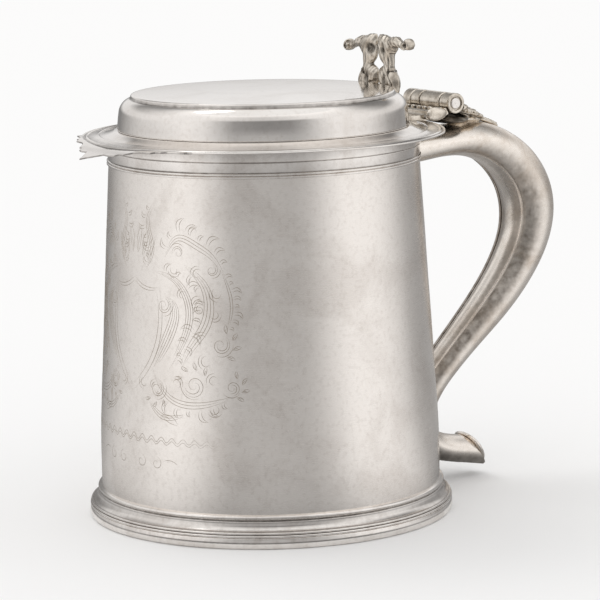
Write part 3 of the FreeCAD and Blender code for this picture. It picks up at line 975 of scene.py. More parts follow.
@dataclass
class Engraving:
    """Empty shield among scrolls and leaves on the front of the wall, cut with a graver.

    Each cut is a thin ridge of three-sided section laid on the wall: its base is just under the
    surface and its crest just over it, so the cut's own colour shows as the burr does.
    """

    vessel: Vessel
    azimuth_deg: float = 184.5
    middle_z: float = 69.0
    wall_r: float = 57.5         # mean radius of the engraved wall
    width: float = 0.3
    under: float = 0.03
    over: float = 0.034
    cuts: list = field(default_factory=list)

    def spiral(self, u: float, v: float, outer: float, inner: float, start_deg: float,
               sweep_deg: float) -> np.ndarray:
        """Spiral about (u, v): the radius falls evenly with the angle from outer to inner.

        Args:
            u: Middle, across.
            v: Middle, up.
            outer: Radius at the start.
            inner: Radius at the end.
            start_deg: Angle of the start.
            sweep_deg: Angle that it turns through.

        Returns:
            Its points.
        """
        t = np.linspace(0, 1, 40)
        angle = np.radians(start_deg + sweep_deg * t)
        radius = outer + (inner - outer) * t
        return np.stack([u + radius * np.cos(angle), v + radius * np.sin(angle)], axis=1)

    def bow(self, start: tuple, end: tuple, rise: float) -> np.ndarray:
        """Curve from start to end that stands rise off its chord: rise times 4 t (1 - t).

        Args:
            start: Its first point.
            end: Its last point.
            rise: How far its middle stands off the chord, with the side as its sign.

        Returns:
            Its points.
        """
        t = np.linspace(0, 1, 18)[:, None]
        a, b = np.array(start, float), np.array(end, float)
        chord = b - a
        across = np.array([-chord[1], chord[0]]) / np.linalg.norm(chord)
        return a + chord * t + across * rise * 4 * t * (1 - t)

    def leaf(self, root: tuple, tip: tuple, fat: float) -> None:
        """Cuts a leaf: two bows from root to tip and a shorter midrib.

        Args:
            root: Where it grows from.
            tip: Where it ends.
            fat: How far its edge stands off the line between them.
        """
        a, b = np.array(root, float), np.array(tip, float)
        self.cuts.append(self.bow(root, tip, fat))
        self.cuts.append(self.bow(root, tip, -fat * 0.45))
        self.cuts.append(self.bow(root, tuple(a + 0.62 * (b - a)), fat * 0.35))

    def fronds(self, u: float, v: float, radius: float, start_deg: float, step_deg: float,
               count: int, length: float) -> None:
        """Cuts a row of leaves round the outside of a scroll.

        Args:
            u: The scroll's middle, across.
            v: The scroll's middle, up.
            radius: Where the leaves grow from.
            start_deg: Angle of the first.
            step_deg: Angle from one to the next.
            count: How many there are.
            length: Length of each.
        """
        for index in range(count):
            angle = math.radians(start_deg + step_deg * index)
            lean = angle + math.radians(38) * (1 if step_deg < 0 else -1)
            root = (u + radius * math.cos(angle), v + radius * math.sin(angle))
            tip = (root[0] + length * math.cos(lean), root[1] + length * math.sin(lean))
            self.leaf(root, tip, length * 0.24)

    def stream(self, points: tuple, count: int, spread: float, hooks: float = 0.0) -> None:
        """Bundle of flowing lines through the points, that draws together at both ends.

        Line k stands (k - middle) * spread * sin(pi s)^0.7 off the curve, s being the share of
        the way along it. Hooks are small crescents that curl off the outermost line.

        Args:
            points: Points of the curve.
            count: Number of lines.
            spread: Distance between the lines at their widest.
            hooks: Size of the crescents, with the side as its sign, or none.
        """
        path = np.array(points, float)
        t = spaced(path)
        line = cubic(t, path, np.linspace(0, t[-1], 46))
        tangent = unit(np.gradient(line, axis=0))
        across = np.stack([-tangent[:, 1], tangent[:, 0]], axis=1)
        swell = np.sin(math.pi * np.linspace(0, 1, 46)) ** 0.7
        for index in range(count):
            shift = (index - (count - 1) / 2) * spread
            cut = line + across * (shift * swell)[:, None]
            first, last = 2 * (index % 3), 46 - 3 * ((index + 1) % 3)
            self.cuts.append(cut[first:last])
        if not hooks:
            return
        size, sign = abs(hooks), math.copysign(1.0, hooks)
        outer = line + across * (sign * (count / 2 + 0.3) * spread * swell)[:, None]
        for index in range(4, 43, 5):
            root = outer[index]
            grow = size * (0.8 + 0.45 * (index % 3))
            tip = root + across[index] * sign * grow + tangent[index] * grow * 0.7
            self.cuts.append(self.bow(tuple(root), tuple(tip), sign * grow * 0.45))
            self.cuts.append(self.bow(tuple(root + tangent[index]), tuple(tip), sign * grow * 0.25))

    def draw_side(self) -> None:
        """Acanthus of one side of the shield, in mm from its middle."""
        self.stream(((14.6, 16.4), (18.6, 13.5), (17.0, 3.0), (9.5, -10.0)), 5, 1.0)
        self.stream(((10.5, 24.5), (20.0, 21.5), (25.2, 12.0), (23.5, 3.0), (17.0, -9.0)), 4, 0.9, 2.6)
        self.stream(((14.5, 29.0), (20.5, 36.5), (28.0, 34.0), (33.0, 31.0), (38.0, 24.5)), 3, 1.1, 2.8)
        self.stream(((23.0, 27.5), (31.0, 20.0), (31.5, 8.0), (25.0, -2.0), (21.5, -9.5)), 4, 1.2, -2.6)
        self.stream(((37.0, 26.0), (40.5, 14.0), (38.5, 4.0)), 2, 0.9, 1.8)
        self.stream(((10.0, -9.5), (18.0, -19.0), (29.0, -20.5), (41.0, -17.0)), 3, 1.1, -2.4)
        self.stream(((8.0, -20.0), (15.0, -25.5), (24.0, -24.0)), 3, 0.9)
        self.stream(((5.0, 24.0), (9.0, 32.0), (6.5, 41.0), (9.5, 48.0)), 3, 0.9, 2.0)
        for u, v, outer, start, sweep in (
            (14.5, 13.0, 3.4, 80.0, -520.0), (36.5, 0.5, 3.6, 60.0, -500.0),
            (12.0, -16.0, 3.4, 80.0, -520.0), (27.0, -13.8, 4.4, 200.0, 540.0),
            (40.5, -14.0, 2.8, 260.0, 480.0), (33.5, 26.0, 2.4, 60.0, -420.0),
            (20.5, 31.5, 2.6, 200.0, -430.0), (29.0, 12.5, 2.2, 90.0, 430.0),
        ):
            self.cuts.append(self.spiral(u, v, outer, 0.5, start, sweep))
            self.cuts.append(self.spiral(u, v, outer - 0.8, 0.9, start - 15, sweep * 0.5))
            self.cuts.append(self.spiral(u, v, outer + 0.9, outer + 0.2, start - 50, sweep * 0.25))
        for u, v, radius, start, step, count, length in (
            (36.5, 0.5, 4.6, 60.0, -40.0, 4, 3.2), (40.5, -14.0, 3.6, 60.0, -42.0, 4, 2.8),
            (27.0, -13.8, 5.4, 150.0, -36.0, 4, 3.2), (12.0, -16.0, 4.4, 230.0, 40.0, 3, 2.8),
        ):
            self.fronds(u, v, radius, start, step, count, length)
        for u, v, outer, start in (
            (28.0, 24.5, 1.9, 40.0), (35.5, 18.0, 2.1, 120.0), (34.5, 11.0, 1.8, 200.0),
            (29.5, 2.0, 2.0, 20.0), (31.5, -5.5, 2.2, 90.0), (19.0, 25.5, 1.8, 150.0),
            (22.5, 17.0, 1.5, 60.0), (20.0, -13.5, 1.9, 300.0), (34.0, -12.0, 1.9, 45.0),
            (34.5, -21.5, 2.0, 180.0), (6.0, -14.5, 1.8, 100.0), (26.0, 38.5, 2.0, 10.0),
        ):
            self.cuts.append(self.spiral(u, v, outer, outer * 0.55, start, 250.0))
            self.cuts.append(self.spiral(u, v, outer + 0.9, outer + 0.6, start + 30, 130.0))
        self.leaf((14.0, -25.0), (21.0, -28.0), 1.6)
        self.cuts.append(self.bow((0.0, 22.0), (12.5, 19.0), -1.6))
        self.cuts.append(self.bow((12.5, 19.0), (0.0, -18.0), 6.5))
        self.cuts.append(self.bow((0.0, 20.6), (11.2, 18.0), -1.4))
        self.cuts.append(self.bow((11.2, 18.0), (0.0, -15.8), 5.6))
        for index, tall in enumerate((9.0, 7.4, 5.4)):
            foot = 1.6 + 2.6 * index
            self.leaf((foot, 30.0 - index), (foot + 1.6 + index, 31.0 + tall), 1.5)

    def flourish(self) -> None:
        """Two running waves with small curls, below the acanthus."""
        t = np.linspace(-1, 1, 150)
        for lift, tall in ((0.0, 1.1), (-1.0, 0.9)):
            wave = tall * np.sin(t * 17 * math.pi) * (1 - 0.3 * np.abs(t))
            self.cuts.append(np.stack([37 * t, -33.5 + lift + wave], axis=1))
        for side in (-1, 1):
            for at in (5.0, 12.0):
                self.cuts.append(self.spiral(side * at, -42.0, 2.4, 0.5, 90, side * -440))
            self.cuts.append(self.bow((side * 15.0, -41.0), (side * 21.0, -42.0), side * 1.0))

    def ribbon(self, cut: np.ndarray) -> Patch:
        """One cut: three-sided, tapering to nothing at both ends, on the planished wall.

        Args:
            cut: Its line in mm, across and up from the shield's middle.

        Returns:
            The patch.
        """
        length = spaced(cut)
        count = int(max(12, length[-1] / 0.5))
        at = np.linspace(0, length[-1], count)
        line = np.stack([np.interp(at, length, cut[:, k]) for k in (0, 1)], axis=1)
        tangent = unit(np.gradient(line, axis=0))
        across = np.stack([-tangent[:, 1], tangent[:, 0]], axis=1)
        swell = np.sin(math.pi * np.linspace(0.02, 0.98, count)) ** 0.6
        half = self.width / 2 * swell
        rows = []
        for side, level in ((-1, -self.under), (0, self.over), (1, -self.under)):
            flat = line + across * (side * half)[:, None]
            z = self.middle_z + flat[:, 1]
            angle = math.radians(self.azimuth_deg) + flat[:, 0] / self.wall_r
            height = np.where(side == 0, level * swell, level)
            r = self.vessel.radius(z) + self.vessel.planish(angle, z) + height
            rows.append(np.stack([r * np.cos(angle), r * np.sin(angle), z], axis=1))
        return Patch(np.stack(rows, axis=1), capped=True)

    def build(self) -> None:
        """Draws one side, mirrors it, adds the flourish and makes all the cuts one piece."""
        self.draw_side()
        self.cuts += [cut * np.array([-1.0, 1.0]) for cut in self.cuts]
        self.flourish()
        patches = [self.ribbon(cut) for cut in self.cuts]
        make_piece("engraving", patches, FINISH.cut, Body.VESSEL, gain=0.0, spread=0)


# ---------------------------------------------------------------- the handle


@dataclass
class Handle:
    """Hollow scroll handle: rounded shell outside, crowned strap inside, shield at the tail."""

    vessel: Vessel
    stations: tuple = (
        (50.0, 124.6, 6.9, 10.4), (58.0, 125.2, 6.6, 10.45), (66.0, 125.8, 6.35, 10.5),
        (78.5, 126.7, 6.0, 10.7), (89.0, 126.6, 6.9, 11.0), (99.2, 123.5, 7.8, 11.2),
        (107.2, 118.2, 8.7, 11.4), (113.4, 110.9, 9.4, 11.5), (117.0, 100.5, 9.7, 11.4),
        (116.0, 90.0, 9.1, 11.0), (110.5, 78.5, 8.3, 10.3), (99.5, 65.0, 7.3, 9.4),
        (87.0, 53.2, 6.2, 8.5), (75.8, 42.6, 5.7, 7.8), (68.0, 33.2, 5.7, 7.4),
        (65.2, 24.2, 5.7, 7.2), (67.9, 16.2, 5.7, 7.0), (75.0, 11.8, 5.7, 6.9),
        (83.0, 10.0, 5.7, 6.8), (93.0, 8.1, 5.7, 6.8),
    )
    shell_t: float = 1.0
    seam_deg: float = 136.0
    crown: float = 0.16
    shield_top: tuple = (85.6, 15.4)
    shield_foot: tuple = (93.6, 2.9)
    shield_t: float = 1.2
    rows: int = 220
    shell_columns: int = 84      # on the shell's outside
    strap_columns: int = 56      # on the strap's face

    def sweep(self, section: Callable) -> np.ndarray:
        """Carries a section along the spline and ends every line on the wall and on the shield.

        A point is p + n out + y side, where p and n are the spline's point and outward normal.

        Args:
            section: Gives (out, side) from half depths and half widths, one row for each station.

        Returns:
            Points, rows by columns by 3.
        """
        stations = np.array(self.stations)
        t = spaced(stations[:, :2])
        at = np.linspace(0, t[-1], 1400)
        curve = cubic(t, stations, at)
        tangent = unit(np.gradient(curve[:, :2], axis=0))
        out, side = section(curve[:, 2:3], curve[:, 3:4])
        x = curve[:, :1] - tangent[:, 1:] * out
        z = curve[:, 1:2] + tangent[:, :1] * out
        dense = np.stack([x, side, z], axis=2)
        inside = np.hypot(x, side) - (self.vessel.radius(z) - self.vessel.wall_t / 2)
        plane = np.array(self.shield_foot) - np.array(self.shield_top)
        plane /= np.linalg.norm(plane)
        past = (x - self.shield_top[0]) * -plane[1] + (z - self.shield_top[1]) * plane[0]
        steps = np.arange(len(at), dtype=float)
        ramp = np.linspace(0, 1, self.rows)
        result = np.empty((self.rows, x.shape[1], 3))
        half = len(at) // 2
        for column in range(x.shape[1]):
            first = np.argmax(inside[:half, column] > 0)
            over = np.argmax(past[half:, column] > 0)
            last = half + over if over else len(at) - 1
            f0 = first - inside[first, column] / (inside[first, column] - inside[first - 1, column])
            f1 = last - past[last, column] / (past[last, column] - past[last - 1, column])
            where = f0 + (f1 - f0) * ramp
            for k in range(3):
                result[:, column, k] = np.interp(where, steps, dense[:, column, k])
        return result

    def shell_section(self, depth: np.ndarray, width: np.ndarray) -> tuple[np.ndarray, np.ndarray]:
        """Oval ring open towards the strap, with its two lips rolled round.

        The outside is (a cos t, b sin t), the inside the same with a and b smaller by the
        thickness, and each lip is a half circle between them.

        Args:
            depth: Half depth at each station.
            width: Half width at each station.

        Returns:
            Outward and sideways offsets.
        """
        seam = math.radians(self.seam_deg)
        t_out = np.linspace(-seam, seam, self.shell_columns)
        t_in = t_out[::-2]
        depth = depth - 0.03
        outer = depth * np.cos(t_out), width * np.sin(t_out)
        inner = ((depth - self.shell_t) * np.cos(t_in), (width - self.shell_t) * np.sin(t_in))
        pieces_out, pieces_side = [outer[0]], [outer[1]]
        for end, start, sign in (((outer[0][:, -1:], outer[1][:, -1:]),
                                  (inner[0][:, :1], inner[1][:, :1]), 1),
                                 ((inner[0][:, -1:], inner[1][:, -1:]),
                                  (outer[0][:, :1], outer[1][:, :1]), -1)):
            mid = (end[0] + start[0]) / 2, (end[1] + start[1]) / 2
            swing = np.linspace(0, math.pi, 9)[1:-1]
            along = -depth * math.sin(seam), sign * width * math.cos(seam)
            size = np.hypot(*along) / (0.62 * self.shell_t)
            for k, bulk in enumerate((pieces_out, pieces_side)):
                bulk.append(mid[k] + (end[k] - mid[k]) * np.cos(swing)
                            + along[k] / size * np.sin(swing))
            if sign == 1:
                pieces_out.append(inner[0])
                pieces_side.append(inner[1])
        return np.concatenate(pieces_out, axis=1), np.concatenate(pieces_side, axis=1)

    def strap_section(self, depth: np.ndarray, width: np.ndarray) -> tuple[np.ndarray, np.ndarray]:
        """Crowned strip with a fine raised line near each edge.

        The face is level - rise (1 - s^2) across s from -1 to 1, and the back the same one
        thickness further in.

        Args:
            depth: Half depth at each station.
            width: Half width at each station.

        Returns:
            Outward and sideways offsets.
        """
        seam = math.radians(self.seam_deg)
        half = (width - self.shell_t) * math.sin(seam) - 0.12
        level = (depth - self.shell_t) * math.cos(seam)
        s = np.linspace(-1, 1, self.strap_columns)
        lines = 0.16 * np.exp(-0.5 * ((np.abs(s) - 0.84) / 0.045) ** 2)
        face = level - self.crown * 2 * half * (1 - s ** 2) - lines
        back = (level - self.crown * 2 * half * (1 - s[::-2] ** 2)) + self.shell_t
        out = np.concatenate([face, back], axis=1)
        side = np.concatenate([half * s, half * s[::-2]], axis=1)
        return out, side

    def build(self) -> None:
        """Makes the shell, the strap and the shield."""
        self.build_shell()
        self.build_strap()
        self.build_shield()

    def hang_sweep(self, name: str, node: str, points: np.ndarray, across: np.ndarray,
                   along: np.ndarray) -> None:
        """Makes a piece of a sweep and closes its ends.

        Args:
            name: The piece's name.
            node: The CAD node that it stands for.
            points: The sweep.
            across: Tarnish and painted shade of each column.
            along: How strong it is at each row.
        """
        patch = Patch(points, recess=across[None, :] * along[:, None])
        obj = make_piece(name, [patch], FINISH.handle, Body.VESSEL, (node,), gain=0.0,
                         spread=0)
        edit(obj.data, fill_ends, face_out)

    def build_shell(self) -> None:
        """Shell, darkened beside the seam by painted shade where its flank turns in towards the strap,
        and tarnished on its rolled lips; least at the top.
        """
        points = self.sweep(self.shell_section)
        outside = self.shell_columns
        t = np.abs(np.linspace(-self.seam_deg, self.seam_deg, outside))
        across = np.zeros(points.shape[1])
        # Painted shade: the flank's columns darken towards the seam, where it turns in towards the
        # strap.
        across[:outside] = np.clip((t - 84) / 26, 0, 1) ** 1.1
        across[outside:outside + 7] = 0.9
        across[-7:] = 0.9
        along = np.interp(np.linspace(0, 1, self.rows), [0, 0.12, 0.3, 0.5, 0.8, 1],
                          [0.2, 0.35, 0.8, 1, 1, 0.7])
        self.hang_sweep("handle_shell_worn", "handle_shell", points, across, along)

    def build_strap(self) -> None:
        """Strap, tarnished towards its edges with a rubbed bright line in the tarnish."""
        points = self.sweep(self.strap_section)
        face = self.strap_columns
        s = np.abs(np.linspace(-1, 1, face))
        bright = np.exp(-0.5 * ((s - 0.84) / 0.04) ** 2)
        across = np.zeros(points.shape[1])
        across[:face] = np.maximum(np.clip((s - 0.28) / 0.2, 0, 1) * 0.6 - 0.6 * bright, 0)
        across[:face] += 0.5 * (s > 0.95)
        along = np.interp(np.linspace(0, 1, self.rows), [0, 0.15, 0.3, 0.45, 0.7, 1],
                          [0.3, 0.35, 0.6, 1, 1, 0.6])
        self.hang_sweep("handle_strap_worn", "handle_strap", points, across, along)

    def build_shield(self) -> None:
        """Oblique end plate: layers of one outline, drawn in and rounded towards both faces.

        The outline's half width follows points down the plate, and its layers are scaled about
        its middle and stand off the plate by the face's rounding.
        """
        top, foot = np.array(self.shield_top), np.array(self.shield_foot)
        down = foot - top
        length = np.linalg.norm(down)
        down /= length
        outward = np.array([-down[1], down[0]])
        half_w = self.stations[-1][3] + 0.5
        place = np.array([-0.6, 0.4, 3.6, 0.66 * length, 0.9 * length, length])
        wide = half_w * np.array([0.0, 0.62, 1.0, 0.86, 0.36, 0.0])
        edge = np.stack([place, wide], axis=1)
        t = spaced(edge)
        half = cubic(t, edge, np.linspace(0, t[-1], 40))
        half[:, 1] = np.maximum(half[:, 1], 0)
        ring = np.concatenate([half, (half * np.array([1.0, -1.0]))[-2:0:-1]])
        middle = np.array([length * 0.42, 0.0])
        t = np.linspace(0, math.pi / 2, 7)
        thick = self.shield_t - 0.02
        layers = [(0.02, 0.01), (0.5, 0.01)]
        layers += [(1 - 0.06 * (1 - math.sin(a)), thick * 0.5 * (1 - math.cos(a))) for a in t]
        layers += [(1 - 0.06 * (1 - math.cos(a)), thick * 0.5 * (1 + math.sin(a))) for a in t[1:]]
        layers += [(0.84, thick * 0.99), (0.8, thick * 0.9), (0.4, thick * 0.95), (0.02, thick)]
        rows = []
        for scale, off in layers:
            flat = middle + (ring - middle) * scale
            x = top[0] + down[0] * flat[:, 0] + outward[0] * off
            z = top[1] + down[1] * flat[:, 0] + outward[1] * off
            rows.append(np.stack([x, flat[:, 1], z], axis=1))
        make_piece("tail_shield_worn", [Patch(np.stack(rows), capped=True)], FINISH.handle,
                   Body.VESSEL, ("tail_shield",), gain=0.8, spread=1)


# ---------------------------------------------------------------- the lid


@dataclass
class Lid:
    """Stepped flat lid with a moulded flange and a serrated, drooping peak."""

    flange_r: float = 64.5
    flange_z: float = 135.2
    drum_r: float = 51.7
    drum_z: float = 138.0
    top_z: float = 150.6
    thick: float = 1.3
    bend_x: float = -57.0
    teeth: tuple = (
        (0.0, 75.4), (1.2, 73.4), (4.6, 69.3), (7.5, 69.9), (9.6, 69.6), (11.0, 68.0), (12.6, 68.3),
        (15.0, 66.2), (18.0, 65.7), (21.8, 66.9), (23.2, 65.7), (25.0, 66.3), (27.0, 65.2),
        (30.0, 64.9), (33.0, 66.0), (35.5, 64.0),
    )
    droop: tuple = ((0.0, 0.0), (2.75, 0.13), (5.5, 0.5), (8.2, 1.1), (11.0, 1.85), (19.0, 3.7),
                    (24.0, 4.9))

    def build(self) -> None:
        """Makes the cap and the flange, and dresses the bezel and the bracket."""
        self.build_cap()
        self.build_flange()
        dress("lid_bezel", FINISH.lid)
        dress("bracket_plate", FINISH.cast)

    def build_cap(self) -> None:
        """Hollow cap: drum, rounded shoulder, step and flat top, filmed on the step, with a painted warm
        reflection on the drum.
        """
        r, z = self.drum_r, self.drum_z
        outline = profile((r - self.thick, z + 0.05), (
            (r - 0.03, z + 0.05),
            (r - 0.2, z + 3.0, r - 0.6, z + 6.0),
            (r - 1.6, z + 8.9, r - 4.0, z + 10.8),
            (r - 4.7, self.top_z - 1.6),
            (r - 4.95, self.top_z - 0.75),
            (r - 5.15, self.top_z - 0.3, r - 5.7, self.top_z - 0.16),
            (r - 18.0, self.top_z - 0.1),
            (0.0, self.top_z - 0.02),
            (0.0, self.top_z - self.thick),
            (r - 6.0, self.top_z - 1.5),
            (r - self.thick - 1.7, z + 8.2, r - self.thick - 0.6, z + 6.0),
        ), soft=0.16)
        outline[:, 0] = np.maximum(outline[:, 0], 0.0)

        def wave(angle: np.ndarray, height: np.ndarray, radius: np.ndarray) -> np.ndarray:
            """Slow waves of a lid raised by hand.

            Args:
                angle: Turn round the lid.
                height: Heights.
                radius: Radii.

            Returns:
                How far to move each point out, in mm.
            """
            side = np.clip((radius - 30) / 15, 0, 1) * np.clip((height - z - 0.5) / 3, 0, 1)
            return 0.03 * side * (np.sin(5 * angle + 1.0) + 0.6 * np.sin(9 * angle + 0.4))

        cap = lathe(outline, 400, wave)
        out, up = outline[:, 0], outline[:, 1]
        step = np.exp(-((up - self.top_z + 1.0) / 0.6) ** 2) * (out > r - 5.4)
        # Painted reflection: the drum's side band (0.13) stands for a warm reflection on the drum; the
        # step's band is tarnish.
        side = np.clip((up - z - 1.2) / 2, 0, 1) * np.clip((z + 9.5 - up) / 2.5, 0, 1)
        cap.recess = (0.34 * step + 0.13 * side)[:, None] + np.zeros(cap.points.shape[:2])
        make_piece("lid_cap_polished", [cap], FINISH.lid, Body.LID,
                   ("lid_cap",), gain=1.4, spread=2)

    def build_flange(self) -> None:
        """The flange's outline turned round the axis, its edge drawn out to the peak's teeth.

        At angle a the edge moves out by R(a) less the flange's radius, where R joins the teeth in
        straight runs, and every point past the bend drops by the droop of its distance.
        """
        r, z = self.flange_r, self.flange_z
        top = profile((self.drum_r - self.thick, z + 0.6), (
            (r - 0.45, z + 0.1),
            (r, z + 0.45, r - 0.4, z + 0.88),
            (r - 0.95, z + 0.62),
            (r - 1.4, z + 0.78),
            (r - 1.9, z + 1.15, r - 2.5, z + 0.95),
            (r - 2.8, z + 0.86),
            (r - 5.8, z + 1.38),
            (r - 6.2, z + 1.5),
            (r - 6.5, z + 1.2),
            (r - 9.6, z + 1.85, r - 11.6, self.drum_z - 0.12),
            (self.drum_r, self.drum_z),
            (self.drum_r - self.thick, self.drum_z),
        ), soft=0.09)
        near = np.radians(180 + np.arange(-36.0, 36.01, 0.3))
        rest = np.radians(np.linspace(217.2, 502.8, 250))
        angle = np.concatenate([near, rest])
        offset = np.abs((np.degrees(angle) % 360) - 180)
        teeth = np.array(self.teeth)
        reach = np.interp(offset, teeth[:, 0], teeth[:, 1], right=r)
        extra = np.maximum(reach - r, 0)
        rows_r, rows_z, shade_and_tarnish = [], [], []
        edge = int(np.argmax(top[:, 0]))
        for index, (radius, height) in enumerate(top):
            out = np.clip((radius - (r - 0.5)) / 0.5, 0, 1)
            rows_r.append(radius + extra * out)
            rows_z.append(height + 0 * extra)
            # Painted shade: the underside rows darken as the shade under the flange, most under the
            # teeth.
            shade_and_tarnish.append(0.85 * np.clip(extra, 0.15, 1) if 0 < index <= edge else 0 * extra)
            if index == edge:
                for share in (0.98, 0.92, 0.8, 0.65, 0.5, 0.35, 0.2, 0.08):
                    rows_r.append(r - 0.15 + extra * share)
                    rows_z.append(z + 0.75 + 0.12 * np.clip(extra, 0, 1) + 0 * extra)
                    # Painted shade along the teeth's edge.
                    shade_and_tarnish.append((share > 0.95) * 0.6 * np.clip(extra, 0, 1))
        radius = np.stack(rows_r)
        x, y = radius * np.cos(angle), radius * np.sin(angle)
        fall = np.array(self.droop)
        height = np.stack(rows_z) - np.interp(self.bend_x - x, fall[:, 0], fall[:, 1])
        make_piece("lid_flange_polished", [Patch(np.stack([x, y, height], axis=2), wrap_rows=True,
                                                 recess=np.stack(shade_and_tarnish))],
                   FINISH.lid, Body.LID, ("lid_flange",), gain=1.8, spread=1)


# ---------------------------------------------------------------- hinge and thumbpiece


@dataclass
class Hinge:
    """Box hinge: knuckles, pin, moulded bar with beads and bosses, pierced leaf and drop."""

    x: float = 74.4
    z: float = 141.8
    barrel_r: float = 3.7
    pin_r: float = 2.1
    gap: float = 0.05
    handle_ends: tuple = ((-14.3, -8.7), (4.0, 9.0))
    lid_ends: tuple = ((-8.1, 3.4), (9.3, 14.1))
    bar_x: float = 66.0
    bar_half: float = 13.6
    bar_top: float = 140.5
    crown: tuple = ((95.0, 133.7), (98.0, 132.8), (100.6, 131.9), (103.6, 130.6))

    def knuckle(self, low: float, high: float, bore: float, recess: bool) -> Patch:
        """Barrel with its ends chamfered by wear, and a ring recess at its near end if asked.

        Args:
            low: Its near end.
            high: Its far end.
            bore: Radius of the hole for the pin.
            recess: Whether the near end has the recess.

        Returns:
            The patch.
        """
        r = self.barrel_r
        near = ((bore + 0.5, low + 0.7), (bore + 0.5, low)) if recess else ()
        start = (bore, low + 0.7) if recess else (bore, low)
        outline = profile(start, near + (
            (r - 0.25, low), (r, low + 0.25), (r, high - 0.25), (r - 0.25, high), (bore, high),
        ), soft=0.07, longest=1.5)
        return barrel(outline, self.x, self.z)

    def build(self) -> None:
        """Makes every piece of the hinge."""
        self.build_knuckles()
        self.build_pin()
        self.build_leaf()
        self.build_drop()
        for node in ("hinge_bar", "bar_bosses", "thumb_foot"):
            worn_copy(node, Body.LID)
        self.build_bar_beads()
        self.build_leaf_beads()

    def build_knuckles(self) -> None:
        """Knuckles of the handle and of the lid."""
        first, second = self.handle_ends
        make_piece("handle_knuckles_turned", [self.knuckle(*first, self.pin_r, True),
                   self.knuckle(*second, self.pin_r, False)], FINISH.cast, Body.VESSEL,
                   ("handle_knuckles",), gain=0.6)
        make_piece("lid_knuckles_turned", [self.knuckle(*ends, self.pin_r + self.gap, False)
                   for ends in self.lid_ends], FINISH.cast, Body.LID,
                   ("lid_knuckles",), gain=0.6)

    def build_pin(self) -> None:
        """Pin with its ends hammered over."""
        low, high = self.handle_ends[0][0] + 0.05, self.lid_ends[1][1] - 0.05
        pin = profile((0.0, low), (
            (self.pin_r - 0.3, low), (self.pin_r - 0.02, low + 0.3),
            (self.pin_r - 0.02, high - 0.3), (self.pin_r - 0.3, high), (0.0, high),
        ), soft=0.07, longest=2.0)
        pin[:, 0] = np.maximum(pin[:, 0], 0)
        make_piece("pin_peened", [barrel(pin, self.x, self.z)], FINISH.pin, Body.VESSEL,
                   ("hinge_pin",), gain=0.4)

    def build_leaf(self) -> None:
        """Thin scalloped leaf on a short rib, with two lugs that reach up to the knuckles.

        A station at x has the section (w cos t, h sin t): w is half the leaf's width there, drawn
        in at each scallop, and h half its thickness.
        """
        stations = np.array([
            (77.6, 139.2, 11.6, 0.7), (79.0, 139.0, 12.9, 0.75), (82.0, 138.3, 12.6, 0.75),
            (84.2, 137.7, 9.4, 0.7), (85.4, 137.4, 8.6, 0.7), (87.6, 136.9, 9.2, 0.75),
            (89.8, 136.2, 7.2, 0.7), (91.0, 135.8, 5.6, 0.65), (92.6, 135.3, 5.4, 0.7),
            (94.6, 134.6, 3.4, 0.65), (96.2, 133.9, 1.8, 0.6),
        ])
        t = spaced(stations[:, :2])
        line = cubic(t, stations, np.linspace(0, t[-1], 90))
        angle = TURN * np.arange(64) / 64
        flat = np.sign(np.cos(angle)) * np.abs(np.cos(angle)) ** 0.8
        up = np.sin(angle)
        y = line[:, 2:3] * flat
        lift = line[:, 3:4] * up - 0.9 * (np.abs(y) / 12) ** 2
        plate = np.stack([line[:, :1] + 0 * y, y, line[:, 1:2] + lift], axis=2)
        patches = [Patch(plate, capped=True),
                   ball((84.5, 0, 135.6), (6.6, 3.4, 3.0)), ball((91.5, 0, 134.0), (5.0, 2.6, 1.9))]
        for low, high in self.handle_ends:
            middle, half = (low + high) / 2, (high - low) / 2
            patches.append(ball((78.6, middle, 139.9), (2.6, half, 1.4)))
        for side in (-1, 1):
            patches.append(ball((82.6, side * 8.6, 138.7), (2.6, 2.3, 0.9)))
            patches.append(ball((88.2, side * 4.4, 137.3), (2.4, 1.6, 0.9)))

        def trim(points: np.ndarray, normals: np.ndarray) -> np.ndarray:
            """Sinks the round piercings of each wing and keeps clear of the lid's knuckles.

            Args:
                points: Points of the skin in mm.
                normals: Their directions.

            Returns:
                The moved points.
            """
            sink = 0.0
            for at_x, at_y, wide in ((86.2, 6.0, 1.1), (80.6, 10.6, 0.9), (91.6, 2.6, 0.7)):
                away = ((points[:, 0] - at_x) / wide) ** 2 + ((np.abs(points[:, 1]) - at_y) / wide) ** 2
                sink = sink + 0.7 * np.exp(-away)
            moved = points - normals * (sink * np.clip(normals[:, 2], 0, 1))[:, None]
            radius = np.hypot(moved[:, 0] - self.x, moved[:, 2] - self.z)
            push = np.maximum(self.barrel_r + 0.35 - radius, 0) / np.maximum(radius, 1e-6)
            moved[:, 0] += (moved[:, 0] - self.x) * push
            moved[:, 2] += (moved[:, 2] - self.z) * push
            return moved

        make_piece("handle_leaf_cast", patches, FINISH.cast, Body.VESSEL,
                   ("handle_hinge_leaf",), gain=0.9, spread=2, voxel_mm=CASTING_VOXEL_MM,
                   shape=trim)
        self.build_seat_shadow()

    def build_seat_shadow(self) -> None:
        """Dark ball between the handle's crown and the barrel: painted shadow in the hollow under the
        hinge's leaf.
        """
        seat = ball((78.6, -0.5, 135.6), (6.0, 13.2, 2.2), 40, 20)
        # Painted shadow: the whole ball takes the full groove colour, standing for the shade under the
        # leaf.
        seat.recess = np.ones(seat.points.shape[:2])
        make_piece("hinge_seat_painted_shadow", [seat], FINISH.cast, Body.VESSEL, gain=0.0,
                   spread=0)

